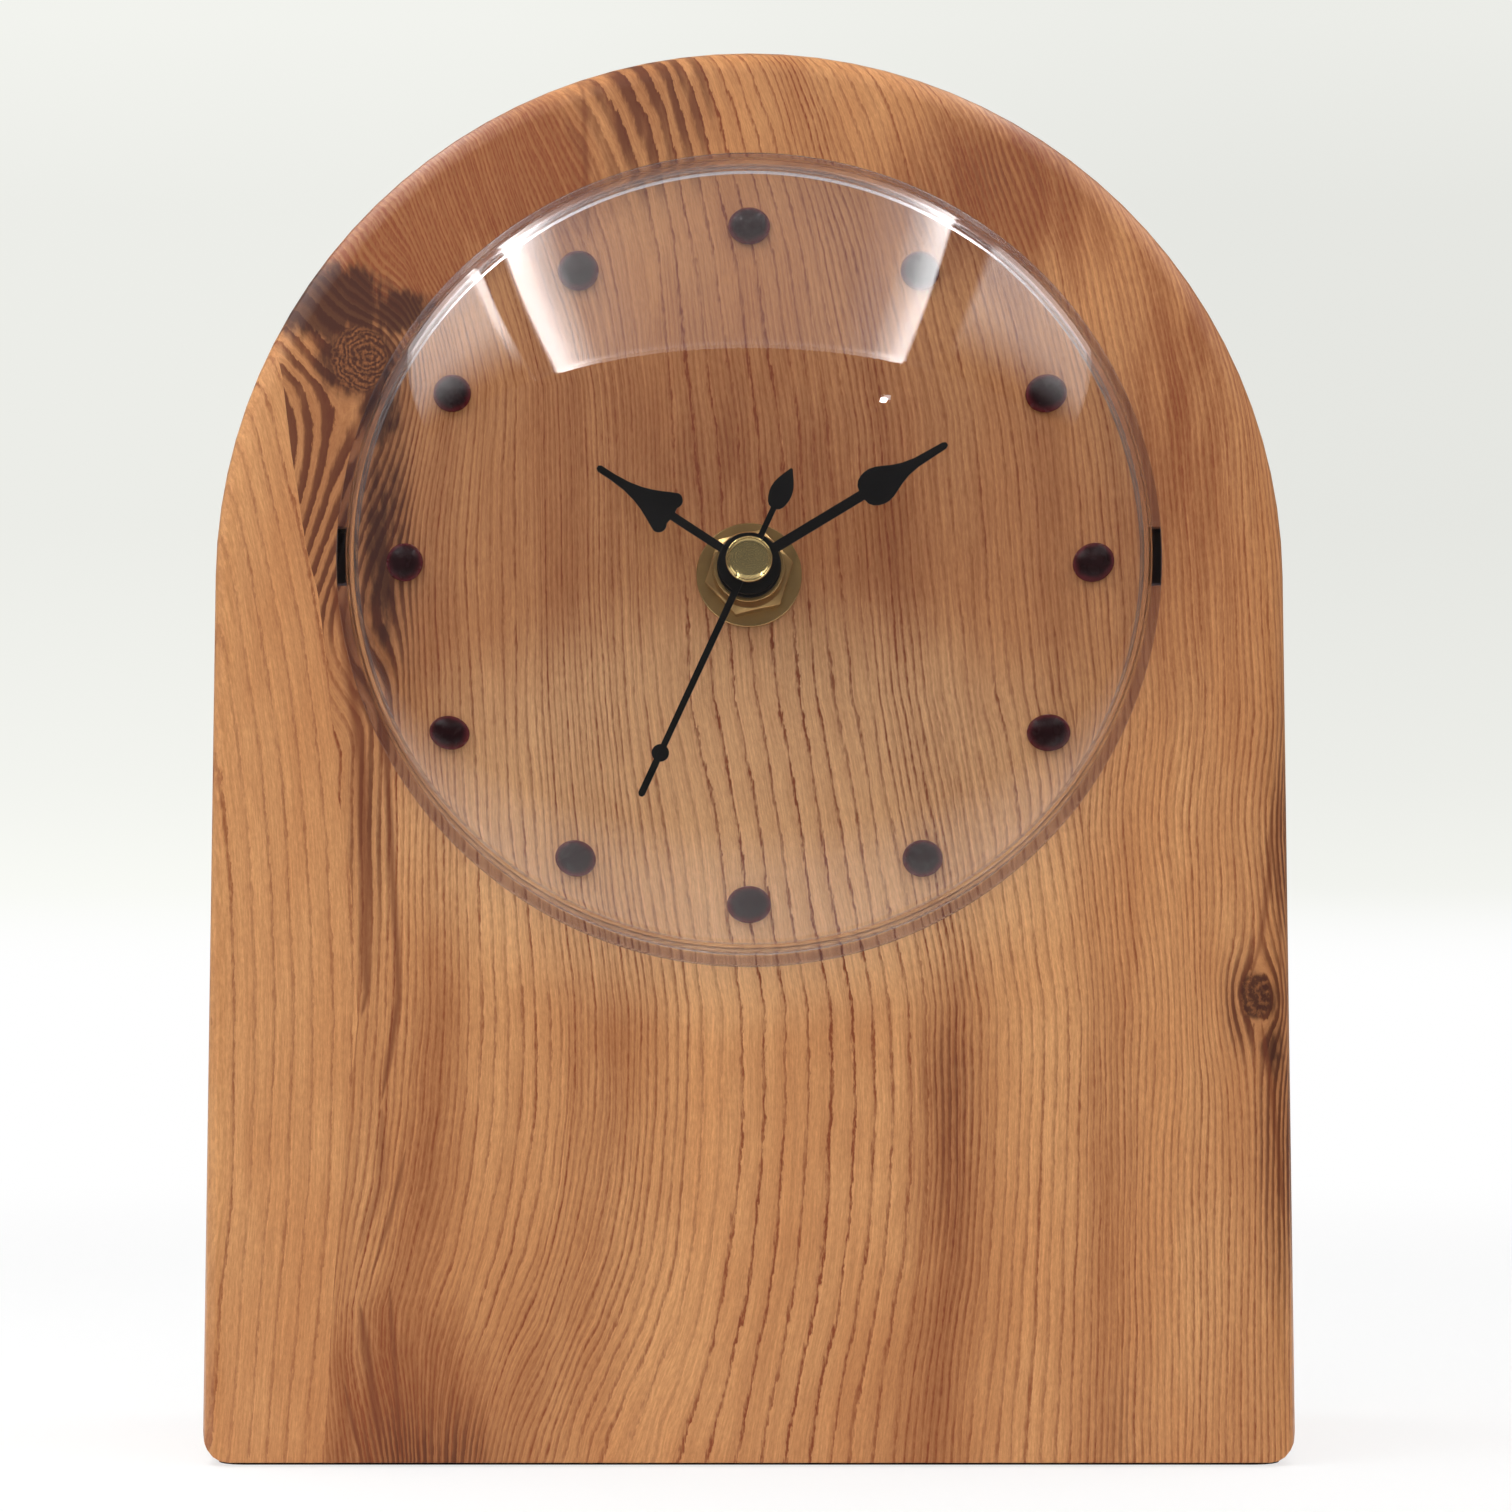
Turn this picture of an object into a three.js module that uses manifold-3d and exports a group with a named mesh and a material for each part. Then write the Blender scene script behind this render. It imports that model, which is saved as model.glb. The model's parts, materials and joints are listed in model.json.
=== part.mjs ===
// Table clock: an arched case with a leaning front, a clear domed lens over spade hands and bead markers,
// and a battery quartz movement behind the front panel.
// Millimetres, +Z up, the front towards -Y. The origin is on the table under the middle of the case.

import * as THREE from 'three';
import { mergeVertices } from 'three/addons/utils/BufferGeometryUtils.js';
import Module from 'manifold-3d';

const DEG = Math.PI / 180;

// Case: an arch outline run back to a flat rear, cut by a front plane that leans back.
const CASE_WIDTH = 156;
const CASE_DEPTH = 60;
const CASE_FRONT_Y = -28.97;
const CASE_BACK_Y = CASE_FRONT_Y + CASE_DEPTH;
const ARCH_RADIUS = CASE_WIDTH / 2;
const ARCH_CENTRE_Z = 127.2;
const FACE_LEAN = 8 * DEG;
const WALL = 3;
const EDGE_ROUND = 3.5;
const FOOT_CORNER = 4;
const GLUE_GAP = 0.1;
const FIT_GAP = 0.15;
const PAD = { thickness: 0.4, inset: 2 };
const CASE_FLOOR_Z = PAD.thickness + GLUE_GAP;

// Rear cover, let into the back of the case, and its screws.
const COVER = {
  recess: 1.6, thickness: 2.4, gap: 0.3, window: { halfWidth: 34, low: 84, high: 152, corner: 6 },
};
const COVER_BACK_Y = CASE_BACK_Y - COVER.recess;
const COVER_FRONT_Y = COVER_BACK_Y - COVER.thickness;
const BOSS = {
  radius: 5, hole: 1.65, holeDepth: 11, places: [[-68, 11], [68, 11], [-50.5, 176.5], [50.5, 176.5]],
};
const SCREW = {
  shank: 1.4, length: 12, head: 3, headHeight: 1.4, recess: 0.7, recessWidth: 0.7, recessReach: 1.7,
};

// Dial: the ring of markers sits a little above the shaft, and the lens a little above the ring.
const DIAL_RISE = 1.9;
const MARKER = { count: 12, ring: 50, radius: 2.85, height: 1.9 };
const LENS = {
  rise: 2.8, flangeRadius: 60, flangeHeight: 2.2, domeRadius: 58.4, domeFoot: 5, apex: 18,
  boreRadius: 57.3, boreFoot: 4.7, boreApex: 16.8, chamfer: 0.3,
};
const TAB = {
  inner: 58.2, outer: 59.6, hook: 60.6, halfHeight: 4, length: 4.4, hookLength: 1, clearance: 0.3,
};

// Hand stack: heights above the face, angles clockwise from twelve.
const HOUR = { low: 7.6, high: 8.2, hub: 4.64, bore: 2.62, angle: 303.5 };
const MINUTE = { low: 9.8, high: 10.3, hub: 4.5, bore: 1.72, angle: 58.5 };
const SECOND = { low: 11.6, high: 12, hub: 2.2, bore: 0.67, sleeve: 1.1, sleeveTop: 12.35, angle: 204.5 };
const BUSH = { radius: 3.4, low: 5.4, flange: 5.1, flangeLow: 6.95, high: 7.45 };
const CAP = { radius: 3.33, low: 12.5, high: 14, dish: 13.55, base: 2.4 };

// Hardware that clamps the movement to the front panel.
const WASHER = { radius: 7.65, bore: 4.25, low: 0.15, high: 0.75 };
const NUT = { flats: 11.3, low: 0.9, high: 3.7, bore: 4.2, turn: 13, chamfer: 0.45 };
const THREAD = { radius: 4, bore: 2.72, high: 4.6 };
const PANEL_HOLE = 4.9;
const GASKET = { radius: 10, bore: 4.6, front: WALL + FIT_GAP, back: 4.15 };

// Movement box, measured inwards from the face.
const BOX = { half: 28, wall: 1.2, corner: 3, front: 4.3, back: 18, lidFront: 18.15, lidBack: 19.4 };
const BAY = { top: -11.8, wallTop: -10.6 };
const MID_PLATE = { front: 9.3, back: 10.3, halfWidth: 20.5, low: -10, high: 17.4 };
const PIVOT = { radius: 0.5, hole: 0.7, front: 9.45, back: 18.7, blind: 18.95 };
const LAYER = {
  hour: [6, 7.1], motion: [7.6, 8.8], centre: [10.8, 12], middle: [12.5, 13.7], second: [14.2, 15.4],
  third: [15.9, 17.1],
};
const PIPE = { hour: 2.5, hourBore: 1.8, minute: 1.6, minuteBore: 0.8, minuteBack: 12.2, second: 0.55 };
const PIPE_END = { hour: 8.5, minute: 10.9, second: 12.25 };

// Gears: tooth counts, with the module set by each pair's centre distance.
const TOOTH = { tip: 0.75, root: 1.05, tipHalf: 0.1, rootHalf: 0.27 };
const MOTION_DISTANCE = 9;
const TRAIN_DISTANCE = 10.5;
const ROTOR_DISTANCE = 10.8;
const TEETH = {
  cannon: 8, motionWheel: 24, motionPinion: 8, hourWheel: 32, knobPinion: 8,
  rotorPinion: 8, thirdWheel: 40, thirdPinion: 8, secondWheel: 48,
  secondPinion: 6, middleWheel: 45, middlePinion: 6, centreWheel: 48,
};
const KNOB = {
  arbor: 1, radius: 6, dent: 0.3, dents: 24, front: 19.7, back: 24, bearing: 0.6, bearingFront: 4.6,
};
const MOTION_POST = { radius: 0.6, bore: 0.75, back: 8.95 };
const CENTRE_BORE = 1.75;

// Step motor, electronics and cell.
const MAGNET = { radius: 3, bore: 0.65, front: 10.9, back: 14 };
const STATOR = { front: 11.3, back: 12.3, hole: 3.6, rim: 4.5, bar: 3, left: -22, right: 2, top: 24.5 };
const CORE = { front: 12.4, back: 13.4, height: 3 };
const COIL = { radius: 3.3, left: -18, right: -2.5, clearance: 0.2 };
const BOARD = { left: 8, right: 26, low: 17.6, high: 26.4, front: 11.3, back: 12.1 };
const CRYSTAL = { radius: 1.1, left: 11, right: 18, height: 24.5, depth: 13.4 };
const CHIP = { left: 18.6, right: 23, low: 18.8, high: 22.2, back: 13.5 };
const CELL = { radius: 7.25, left: -24.8, right: 24.5, nub: 2.7, nubLength: 1, height: -19.3, depth: 13.05 };
const CONTACT = { thickness: 0.4, halfHeight: 4, front: 6, back: 17, bow: 0.9 };

const wasm = await Module();
wasm.setup();

const faceY = (z) => CASE_FRONT_Y + (z - CASE_FLOOR_Z) * Math.tan(FACE_LEAN);
const vec = (x, y) => new THREE.Vector2(x, y);
const range = (count) => Array.from({ length: count }, (_, i) => i);

// Points along an arc, its ends in degrees anticlockwise from the right.
const arc = (across, up, radius, from, to, steps) => range(steps + 1).map((i) => {
  const turn = (from + ((to - from) * i) / steps) * DEG;
  return vec(across + radius * Math.cos(turn), up + radius * Math.sin(turn));
});

function signedVolume(points, triangles) {
  const [a, b, c] = [new THREE.Vector3(), new THREE.Vector3(), new THREE.Vector3()];
  let volume = 0;
  for (let i = 0; i < triangles.length; i += 3) {
    a.fromArray(points, 3 * triangles[i]);
    b.fromArray(points, 3 * triangles[i + 1]);
    c.fromArray(points, 3 * triangles[i + 2]);
    volume += a.dot(b.cross(c)) / 6;
  }
  return volume;
}

// A closed geometry as a solid: shared corners merged, empty triangles dropped, faces turned outwards.
function toSolid(geometry) {
  const bare = geometry.clone();
  bare.deleteAttribute('normal');
  bare.deleteAttribute('uv');
  const merged = mergeVertices(bare);
  const index = merged.index.array;
  const points = merged.attributes.position.array;
  const triangles = [];
  for (let i = 0; i < index.length; i += 3) {
    const [a, b, c] = index.slice(i, i + 3);
    if (a !== b && b !== c && c !== a) triangles.push(a, b, c);
  }
  if (signedVolume(points, triangles) < 0) triangles.reverse();
  return new wasm.Manifold(new wasm.Mesh({
    numProp: 3,
    vertProperties: Float32Array.from(points),
    triVerts: Uint32Array.from(triangles),
  }));
}

function toGeometry(solid) {
  const mesh = solid.getMesh();
  const geometry = new THREE.BufferGeometry();
  geometry.setAttribute('position', new THREE.BufferAttribute(mesh.vertProperties, 3));
  geometry.setIndex(new THREE.BufferAttribute(mesh.triVerts, 1));
  geometry.computeVertexNormals();
  return geometry;
}

const combine = (how, first, rest) => (
  toGeometry(rest.map(toSolid).reduce((a, b) => a[how](b), toSolid(first)))
);
const join = (first, ...rest) => combine('add', first, rest);
const cut = (first, ...rest) => combine('subtract', first, rest);
const overlap = (first, ...rest) => combine('intersect', first, rest);

// A flat piece: an outline drawn across and up, running from one depth to another.
function plate(shape, front, back) {
  const geometry = new THREE.ExtrudeGeometry(shape, { depth: back - front, bevelEnabled: false });
  return geometry.rotateX(Math.PI / 2).translate(0, back, 0);
}

// A round piece about the depth axis, from [radius, depth] pairs.
function turned(profile, segments = 24) {
  return new THREE.LatheGeometry(profile.map(([radius, depth]) => vec(radius, depth)), segments);
}

function rod(radius, front, back, segments = 16) {
  return turned([[0, front], [radius, front], [radius, back], [0, back]], segments);
}

function tube(radius, bore, front, back, segments = 24) {
  return turned([[bore, front], [radius, front], [radius, back], [bore, back], [bore, front]], segments);
}

function block(left, right, front, back, low, high) {
  const geometry = new THREE.BoxGeometry(right - left, back - front, high - low);
  return geometry.translate((left + right) / 2, (front + back) / 2, (low + high) / 2);
}

const at = (geometry, [across, up]) => geometry.translate(across, 0, up);

function roundedRectangle(left, right, low, high, corner, steps = 4) {
  return new THREE.Shape([
    ...arc(right - corner, high - corner, corner, 0, 90, steps),
    ...arc(left + corner, high - corner, corner, 90, 180, steps),
    ...arc(left + corner, low + corner, corner, 180, 270, steps),
    ...arc(right - corner, low + corner, corner, 270, 360, steps),
  ]);
}

// The case outline seen from the front, drawn in by an inset, down to a foot with rounded corners.
function archOutline(inset, foot, corner) {
  const half = ARCH_RADIUS - inset;
  return new THREE.Shape([
    ...arc(0, ARCH_CENTRE_Z, half, 0, 180, 48),
    ...arc(corner - half, foot + corner, corner, 180, 270, 5),
    ...arc(half - corner, foot + corner, corner, 270, 360, 5),
  ]);
}

// Moves the front end of a block that runs along the depth onto the leaning face, set back by a depth.
function leanFront(geometry, setBack) {
  const position = geometry.attributes.position;
  for (let i = 0; i < position.count; i += 1) {
    if (position.getY(i) < CASE_BACK_Y) {
      position.setY(i, position.getY(i) + faceY(position.getZ(i)) - CASE_FRONT_Y + setBack);
    }
  }
  return geometry;
}

function caseShell(dial) {
  const belowFoot = -20;
  const rounded = new THREE.ExtrudeGeometry(archOutline(0, belowFoot, FOOT_CORNER), {
    depth: CASE_DEPTH, bevelSegments: 3,
    bevelSize: EDGE_ROUND, bevelThickness: EDGE_ROUND, bevelOffset: -EDGE_ROUND,
  });
  rounded.rotateX(Math.PI / 2).translate(0, CASE_BACK_Y + EDGE_ROUND, 0);
  const outside = overlap(
    leanFront(rounded, 0),
    plate(archOutline(0, CASE_FLOOR_Z, FOOT_CORNER), 2 * CASE_FRONT_Y, CASE_BACK_Y),
  );
  const hollow = leanFront(
    plate(archOutline(WALL, CASE_FLOOR_Z + WALL, FOOT_CORNER - WALL), CASE_FRONT_Y, CASE_BACK_Y + WALL), WALL,
  );
  const seat = COVER_FRONT_Y - FIT_GAP;
  const bosses = BOSS.places.map((place) => at(rod(BOSS.radius, CASE_FRONT_Y, seat, 12), place));
  const pilots = BOSS.places.map(
    (place) => at(rod(BOSS.hole, seat - BOSS.holeDepth, CASE_BACK_Y, 10), place),
  );
  const shell = cut(outside, cut(hollow, ...bosses), ...pilots);
  const slot = (side) => {
    const [near, far] = [TAB.inner - TAB.clearance, TAB.outer + TAB.clearance];
    const half = TAB.halfHeight + TAB.clearance;
    const box = block(side * near, side * far, -1, WALL + 2, LENS.rise - half, LENS.rise + half);
    return box.applyMatrix4(dial);
  };
  return cut(shell, rod(PANEL_HOLE, -2, WALL + 2, 24).applyMatrix4(dial), slot(1), slot(-1));
}

function rearCover() {
  const inset = WALL + COVER.gap;
  const { halfWidth, low, high, corner } = COVER.window;
  const [before, after] = [COVER_FRONT_Y - 1, COVER_BACK_Y + 1];
  const panel = plate(archOutline(inset, CASE_FLOOR_Z + inset, 1), COVER_FRONT_Y, COVER_BACK_Y);
  const window = plate(roundedRectangle(-halfWidth, halfWidth, low, high, corner), before, after);
  const holes = BOSS.places.map((place) => at(rod(BOSS.hole, before, after, 10), place));
  return cut(panel, window, ...holes);
}

function rearScrew() {
  const seat = COVER_BACK_Y + GLUE_GAP;
  const top = seat + SCREW.headHeight;
  const body = turned([
    [0, seat - SCREW.length], [SCREW.shank, seat - SCREW.length + 1], [SCREW.shank, seat],
    [SCREW.head, seat], [SCREW.head, top - 0.6], [SCREW.head - 0.8, top], [0, top],
  ], 12);
  const half = SCREW.recessWidth / 2;
  const arm = (reach, width) => block(-reach, reach, top - SCREW.recess, top + 1, -width, width);
  return cut(body, arm(SCREW.recessReach, half), arm(half, SCREW.recessReach));
}

// The pad under the foot, set in from the case's edges.
function basePad() {
  const halfWidth = ARCH_RADIUS - PAD.inset;
  const halfDepth = CASE_DEPTH / 2 - PAD.inset;
  const shape = roundedRectangle(-halfWidth, halfWidth, -halfDepth, halfDepth, FOOT_CORNER);
  const sheet = new THREE.ExtrudeGeometry(shape, { depth: PAD.thickness, bevelEnabled: false });
  return sheet.translate(0, (CASE_FRONT_Y + CASE_BACK_Y) / 2, 0);
}

// Quarter ellipse from its foot to the axis, as [radius, depth] pairs.
function domeCurve(radius, foot, apex, steps) {
  return range(steps + 1).map((i) => {
    const turn = (i / steps) * 90 * DEG;
    return [i === steps ? 0 : radius * Math.cos(turn), -foot - (apex - foot) * Math.sin(turn)];
  });
}

function lens() {
  const steps = 7;
  const foot = -FIT_GAP;
  const dome = turned([
    ...domeCurve(LENS.boreRadius, LENS.boreFoot, LENS.boreApex, steps).reverse(),
    [LENS.boreRadius, foot], [LENS.flangeRadius, foot],
    [LENS.flangeRadius, LENS.chamfer - LENS.flangeHeight],
    [LENS.flangeRadius - LENS.chamfer, -LENS.flangeHeight],
    [LENS.domeRadius, -LENS.flangeHeight],
    ...domeCurve(LENS.domeRadius, LENS.domeFoot, LENS.apex, steps),
  ], 44);
  const tab = (side) => [
    block(side * TAB.inner, side * TAB.outer, -1, TAB.length, -TAB.halfHeight, TAB.halfHeight),
    block(
      side * (TAB.outer - 0.2), side * TAB.hook, TAB.length - TAB.hookLength, TAB.length,
      -TAB.halfHeight, TAB.halfHeight,
    ),
  ];
  return at(join(dome, ...tab(1), ...tab(-1)), [0, LENS.rise]);
}

function marker() {
  const curve = domeCurve(MARKER.radius, FIT_GAP, FIT_GAP + MARKER.height, 3);
  return turned([[0, -FIT_GAP], ...curve], 12);
}

function hexNut() {
  const corner = NUT.flats / 2 / Math.cos(30 * DEG);
  const hexagon = new THREE.Shape(range(6).map((i) => {
    const turn = (NUT.turn + 60 * i) * DEG;
    return vec(corner * Math.cos(turn), corner * Math.sin(turn));
  }));
  const crown = turned([
    [0, -NUT.low + 1], [corner + 1, -NUT.low + 1], [corner + 1, -NUT.high + NUT.chamfer + 0.6],
    [NUT.flats / 2 - 0.3, -NUT.high], [0, -NUT.high],
  ], 36);
  const blank = overlap(plate(hexagon, -NUT.high, -NUT.low), crown);
  return cut(blank, rod(NUT.bore, -NUT.high - 1, -NUT.low + 1, 24));
}

// One edge of a blade, mirrored about its length.
function bladeShape(edge) {
  const right = edge.getPoints(5);
  return new THREE.Shape([...right, ...right.toReversed().map((p) => vec(-p.x, p.y))]);
}

function hourBlade() {
  const edge = new THREE.Path();
  edge.moveTo(0.6, 2.8);
  edge.lineTo(0.6, 13.2);
  edge.absarc(2.1, 14.2, 1.15, -130 * DEG, 5 * DEG);
  edge.bezierCurveTo(2.75, 15.7, 1.2, 17.6, 0.7, 21.2);
  edge.lineTo(0.5, 23.6);
  edge.lineTo(0.5, 25.8);
  edge.lineTo(0.25, 26.2);
  return bladeShape(edge);
}

function minuteBlade() {
  const edge = new THREE.Path();
  edge.moveTo(0.75, 2);
  edge.lineTo(0.75, 19);
  edge.bezierCurveTo(2.2, 19, 2.85, 20.6, 2.75, 21.9);
  edge.bezierCurveTo(2.6, 23.6, 1.1, 24.6, 0.7, 28.2);
  edge.lineTo(0.52, 32.9);
  edge.lineTo(0.25, 33.4);
  return bladeShape(edge);
}

// The second hand's pointer, with its small disc near the tip.
function secondBlade() {
  const edge = new THREE.Path();
  edge.moveTo(0.5, 1);
  edge.lineTo(0.45, 29.2);
  edge.absarc(0, 30.4, 1.25, -68 * DEG, 68 * DEG);
  edge.lineTo(0.5, 32.2);
  edge.lineTo(0.5, 36.8);
  edge.lineTo(0.25, 37.2);
  return bladeShape(edge);
}

function secondTail() {
  const edge = new THREE.Path();
  edge.moveTo(0.42, 1);
  edge.lineTo(0.42, 8.5);
  edge.bezierCurveTo(1.2, 8.6, 1.65, 9.9, 1.62, 11.2);
  edge.bezierCurveTo(1.58, 12.4, 0.85, 13.5, 0.15, 14.8);
  return bladeShape(edge);
}

function hand({ low, high, hub, bore }, blades) {
  const disc = rod(hub, -high, -low, 28);
  const hole = rod(bore, -high - 5, -low + 5, 20);
  return cut(join(disc, ...blades.map((blade) => plate(blade, -high, -low))), hole);
}

function secondHand() {
  const tail = plate(secondTail(), -SECOND.high, -SECOND.low).rotateY(Math.PI);
  const whole = join(
    rod(SECOND.hub, -SECOND.high, -SECOND.low, 20), plate(secondBlade(), -SECOND.high, -SECOND.low), tail,
    rod(SECOND.sleeve, -SECOND.sleeveTop, -SECOND.low + 0.6, 16),
  );
  return cut(whole, rod(SECOND.bore, -SECOND.sleeveTop - 1, -SECOND.low + 2, 16));
}

function secondCap() {
  const lip = 0.3;
  return turned([
    [0, -CAP.low], [CAP.base, -CAP.low], [CAP.radius, -CAP.low - 0.5], [CAP.radius, -CAP.high + lip],
    [CAP.radius - lip / 2, -CAP.high], [CAP.radius - lip, -CAP.high],
    [CAP.radius - 2 * lip, -CAP.dish], [0, -CAP.dish],
  ], 28);
}

function hourHandBush() {
  return turned([
    [HOUR.bore, -BUSH.low], [BUSH.radius, -BUSH.low],
    [BUSH.radius, -BUSH.flangeLow], [BUSH.flange, -BUSH.flangeLow],
    [BUSH.flange, -BUSH.high], [HOUR.bore, -BUSH.high], [HOUR.bore, -BUSH.low],
  ], 28);
}

// Gears. Angles are seen from the front, anticlockwise from the right.
const polar = ([across, up], distance, angle) => [
  across + distance * Math.cos(angle * DEG), up + distance * Math.sin(angle * DEG),
];
const AXIS = { shaft: [0, 0] };
AXIS.motion = polar(AXIS.shaft, MOTION_DISTANCE, 200);
AXIS.knob = polar(AXIS.motion, MOTION_DISTANCE, 190);
AXIS.middle = polar(AXIS.shaft, TRAIN_DISTANCE, 40);
AXIS.third = polar(AXIS.shaft, TRAIN_DISTANCE, 115);
AXIS.rotor = polar(AXIS.third, ROTOR_DISTANCE, 150);

const moduleFor = (distance, teethA, teethB) => (2 * distance) / (teethA + teethB);
const MODULE = {
  motion: moduleFor(MOTION_DISTANCE, TEETH.cannon, TEETH.motionWheel),
  hour: moduleFor(MOTION_DISTANCE, TEETH.motionPinion, TEETH.hourWheel),
  centre: moduleFor(TRAIN_DISTANCE, TEETH.middlePinion, TEETH.centreWheel),
  middle: moduleFor(TRAIN_DISTANCE, TEETH.secondPinion, TEETH.middleWheel),
  second: moduleFor(TRAIN_DISTANCE, TEETH.thirdPinion, TEETH.secondWheel),
  third: moduleFor(ROTOR_DISTANCE, TEETH.rotorPinion, TEETH.thirdWheel),
};

// The turn that puts a gear's gap where its partner's tooth meets the line of centres.
function meshedPhase(teethA, phaseA, axisA, teethB, axisB) {
  const towards = Math.atan2(axisB[1] - axisA[1], axisB[0] - axisA[0]);
  const toothShare = ((towards - phaseA) * teethA) / (2 * Math.PI);
  return towards + Math.PI - ((0.5 - toothShare) * 2 * Math.PI) / teethB;
}

const PHASE = { cannon: 0, motionPinion: 0, secondPinion: 0, secondWheel: 0, middlePinion: 0, thirdWheel: 0 };
PHASE.motionWheel = meshedPhase(
  TEETH.cannon, PHASE.cannon, AXIS.shaft,
  TEETH.motionWheel, AXIS.motion,
);
PHASE.hourWheel = meshedPhase(
  TEETH.motionPinion, PHASE.motionPinion, AXIS.motion,
  TEETH.hourWheel, AXIS.shaft,
);
PHASE.knobPinion = meshedPhase(
  TEETH.motionWheel, PHASE.motionWheel, AXIS.motion,
  TEETH.knobPinion, AXIS.knob,
);
PHASE.middleWheel = meshedPhase(
  TEETH.secondPinion, PHASE.secondPinion, AXIS.shaft,
  TEETH.middleWheel, AXIS.middle,
);
PHASE.centreWheel = meshedPhase(
  TEETH.middlePinion, PHASE.middlePinion, AXIS.middle,
  TEETH.centreWheel, AXIS.shaft,
);
PHASE.thirdPinion = meshedPhase(
  TEETH.secondWheel, PHASE.secondWheel, AXIS.shaft,
  TEETH.thirdPinion, AXIS.third,
);
PHASE.rotorPinion = meshedPhase(
  TEETH.thirdWheel, PHASE.thirdWheel, AXIS.third,
  TEETH.rotorPinion, AXIS.rotor,
);

// A toothed disc with straight-sided teeth, across one layer of the movement.
function gear(name, module, [front, back]) {
  const teeth = TEETH[name];
  const pitch = (2 * Math.PI) / teeth;
  const root = module * (teeth / 2 - TOOTH.root);
  const tip = module * (teeth / 2 + TOOTH.tip);
  const corners = [
    [root, -TOOTH.rootHalf], [tip, -TOOTH.tipHalf], [tip, TOOTH.tipHalf], [root, TOOTH.rootHalf],
  ];
  const outline = range(teeth).flatMap((i) => corners.map(([radius, share]) => {
    const turn = PHASE[name] + (i + share) * pitch;
    return vec(radius * Math.cos(turn), radius * Math.sin(turn));
  }));
  return plate(new THREE.Shape(outline), front, back);
}

function hourWheel() {
  const pipe = rod(PIPE.hour, -PIPE_END.hour, LAYER.hour[1], 20);
  const wheel = join(gear('hourWheel', MODULE.hour, LAYER.hour), pipe);
  return cut(wheel, rod(PIPE.hourBore, -PIPE_END.hour - 1, LAYER.hour[1] + 1, 20));
}

function minutePipe() {
  const pipe = join(
    rod(PIPE.minute, -PIPE_END.minute, PIPE.minuteBack, 16), gear('cannon', MODULE.motion, LAYER.motion),
  );
  return cut(pipe, rod(PIPE.minuteBore, -PIPE_END.minute - 1, PIPE.minuteBack + 1, 14));
}

function motionWheel() {
  const wheel = join(
    gear('motionWheel', MODULE.motion, LAYER.motion),
    gear('motionPinion', MODULE.hour, [LAYER.hour[0], LAYER.motion[0] + 0.2]),
  );
  return cut(wheel, rod(MOTION_POST.bore, LAYER.hour[0] - 1, LAYER.motion[1] + 1, 16));
}

function settingKnob() {
  const rim = range(2 * KNOB.dents).map((i) => {
    const turn = (i * Math.PI) / KNOB.dents;
    const radius = KNOB.radius - (i % 2) * KNOB.dent;
    return vec(radius * Math.cos(turn), radius * Math.sin(turn));
  });
  return join(
    gear('knobPinion', MODULE.motion, LAYER.motion),
    rod(KNOB.bearing, KNOB.bearingFront, LAYER.motion[0] + 0.3, 10),
    rod(KNOB.arbor, LAYER.motion[0], KNOB.front + 0.5, 12),
    plate(new THREE.Shape(rim), KNOB.front, KNOB.back),
  );
}

function centreWheel() {
  const hole = rod(CENTRE_BORE, LAYER.centre[0] - 1, LAYER.centre[1] + 1, 20);
  return cut(gear('centreWheel', MODULE.centre, LAYER.centre), hole);
}

const arbor = () => rod(PIVOT.radius, PIVOT.front, PIVOT.back, 10);

function secondWheel() {
  return join(
    rod(PIPE.second, -PIPE_END.second, PIVOT.back, 10),
    gear('secondPinion', MODULE.middle, [LAYER.middle[0], LAYER.second[0] + 0.2]),
    gear('secondWheel', MODULE.second, LAYER.second),
  );
}

function intermediateWheel() {
  return join(
    arbor(), gear('middlePinion', MODULE.centre, [LAYER.centre[0], LAYER.middle[0] + 0.2]),
    gear('middleWheel', MODULE.middle, LAYER.middle),
  );
}

function thirdWheel() {
  return join(
    arbor(), gear('thirdPinion', MODULE.second, [LAYER.second[0], LAYER.third[0] + 0.2]),
    gear('thirdWheel', MODULE.third, LAYER.third),
  );
}

const rotor = () => join(arbor(), gear('rotorPinion', MODULE.third, LAYER.third));

// Movement box: a tray with a train room above and a cell bay below.
function movementCase() {
  const inside = BOX.half - BOX.wall;
  const floor = BOX.front + BOX.wall;
  const tray = cut(
    plate(roundedRectangle(-BOX.half, BOX.half, -BOX.half, BOX.half, BOX.corner), BOX.front, BOX.back),
    block(-inside, inside, floor, BOX.back + 1, BAY.wallTop, inside),
    block(-inside, inside, floor, BOX.back + 1, -inside, BAY.top),
    rod(THREAD.radius + FIT_GAP, BOX.front - 1, floor + 1, 24),
    at(rod(KNOB.bearing + FIT_GAP, BOX.front - 1, floor + 1, 10), AXIS.knob),
  );
  const post = (radius, back, place) => at(rod(radius, BOX.front + 0.4, back, 8), place);
  const platePosts = [[-18.7, -8.7], [18.7, -8.7], [-18.7, 15.6], [18.7, 15.6]];
  const boardPosts = [[STATOR.left + 1.5, 22.8], [STATOR.right - 1.5, 22.8], [24.5, 21], [10, 24.8]];
  return join(
    tray, post(MOTION_POST.radius, MOTION_POST.back, AXIS.motion),
    ...platePosts.map((place) => post(1.1, MID_PLATE.front - FIT_GAP, place)),
    ...boardPosts.map((place) => post(1, STATOR.front - FIT_GAP, place)),
  );
}

const TRAIN_AXES = [AXIS.middle, AXIS.third, AXIS.rotor];

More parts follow.
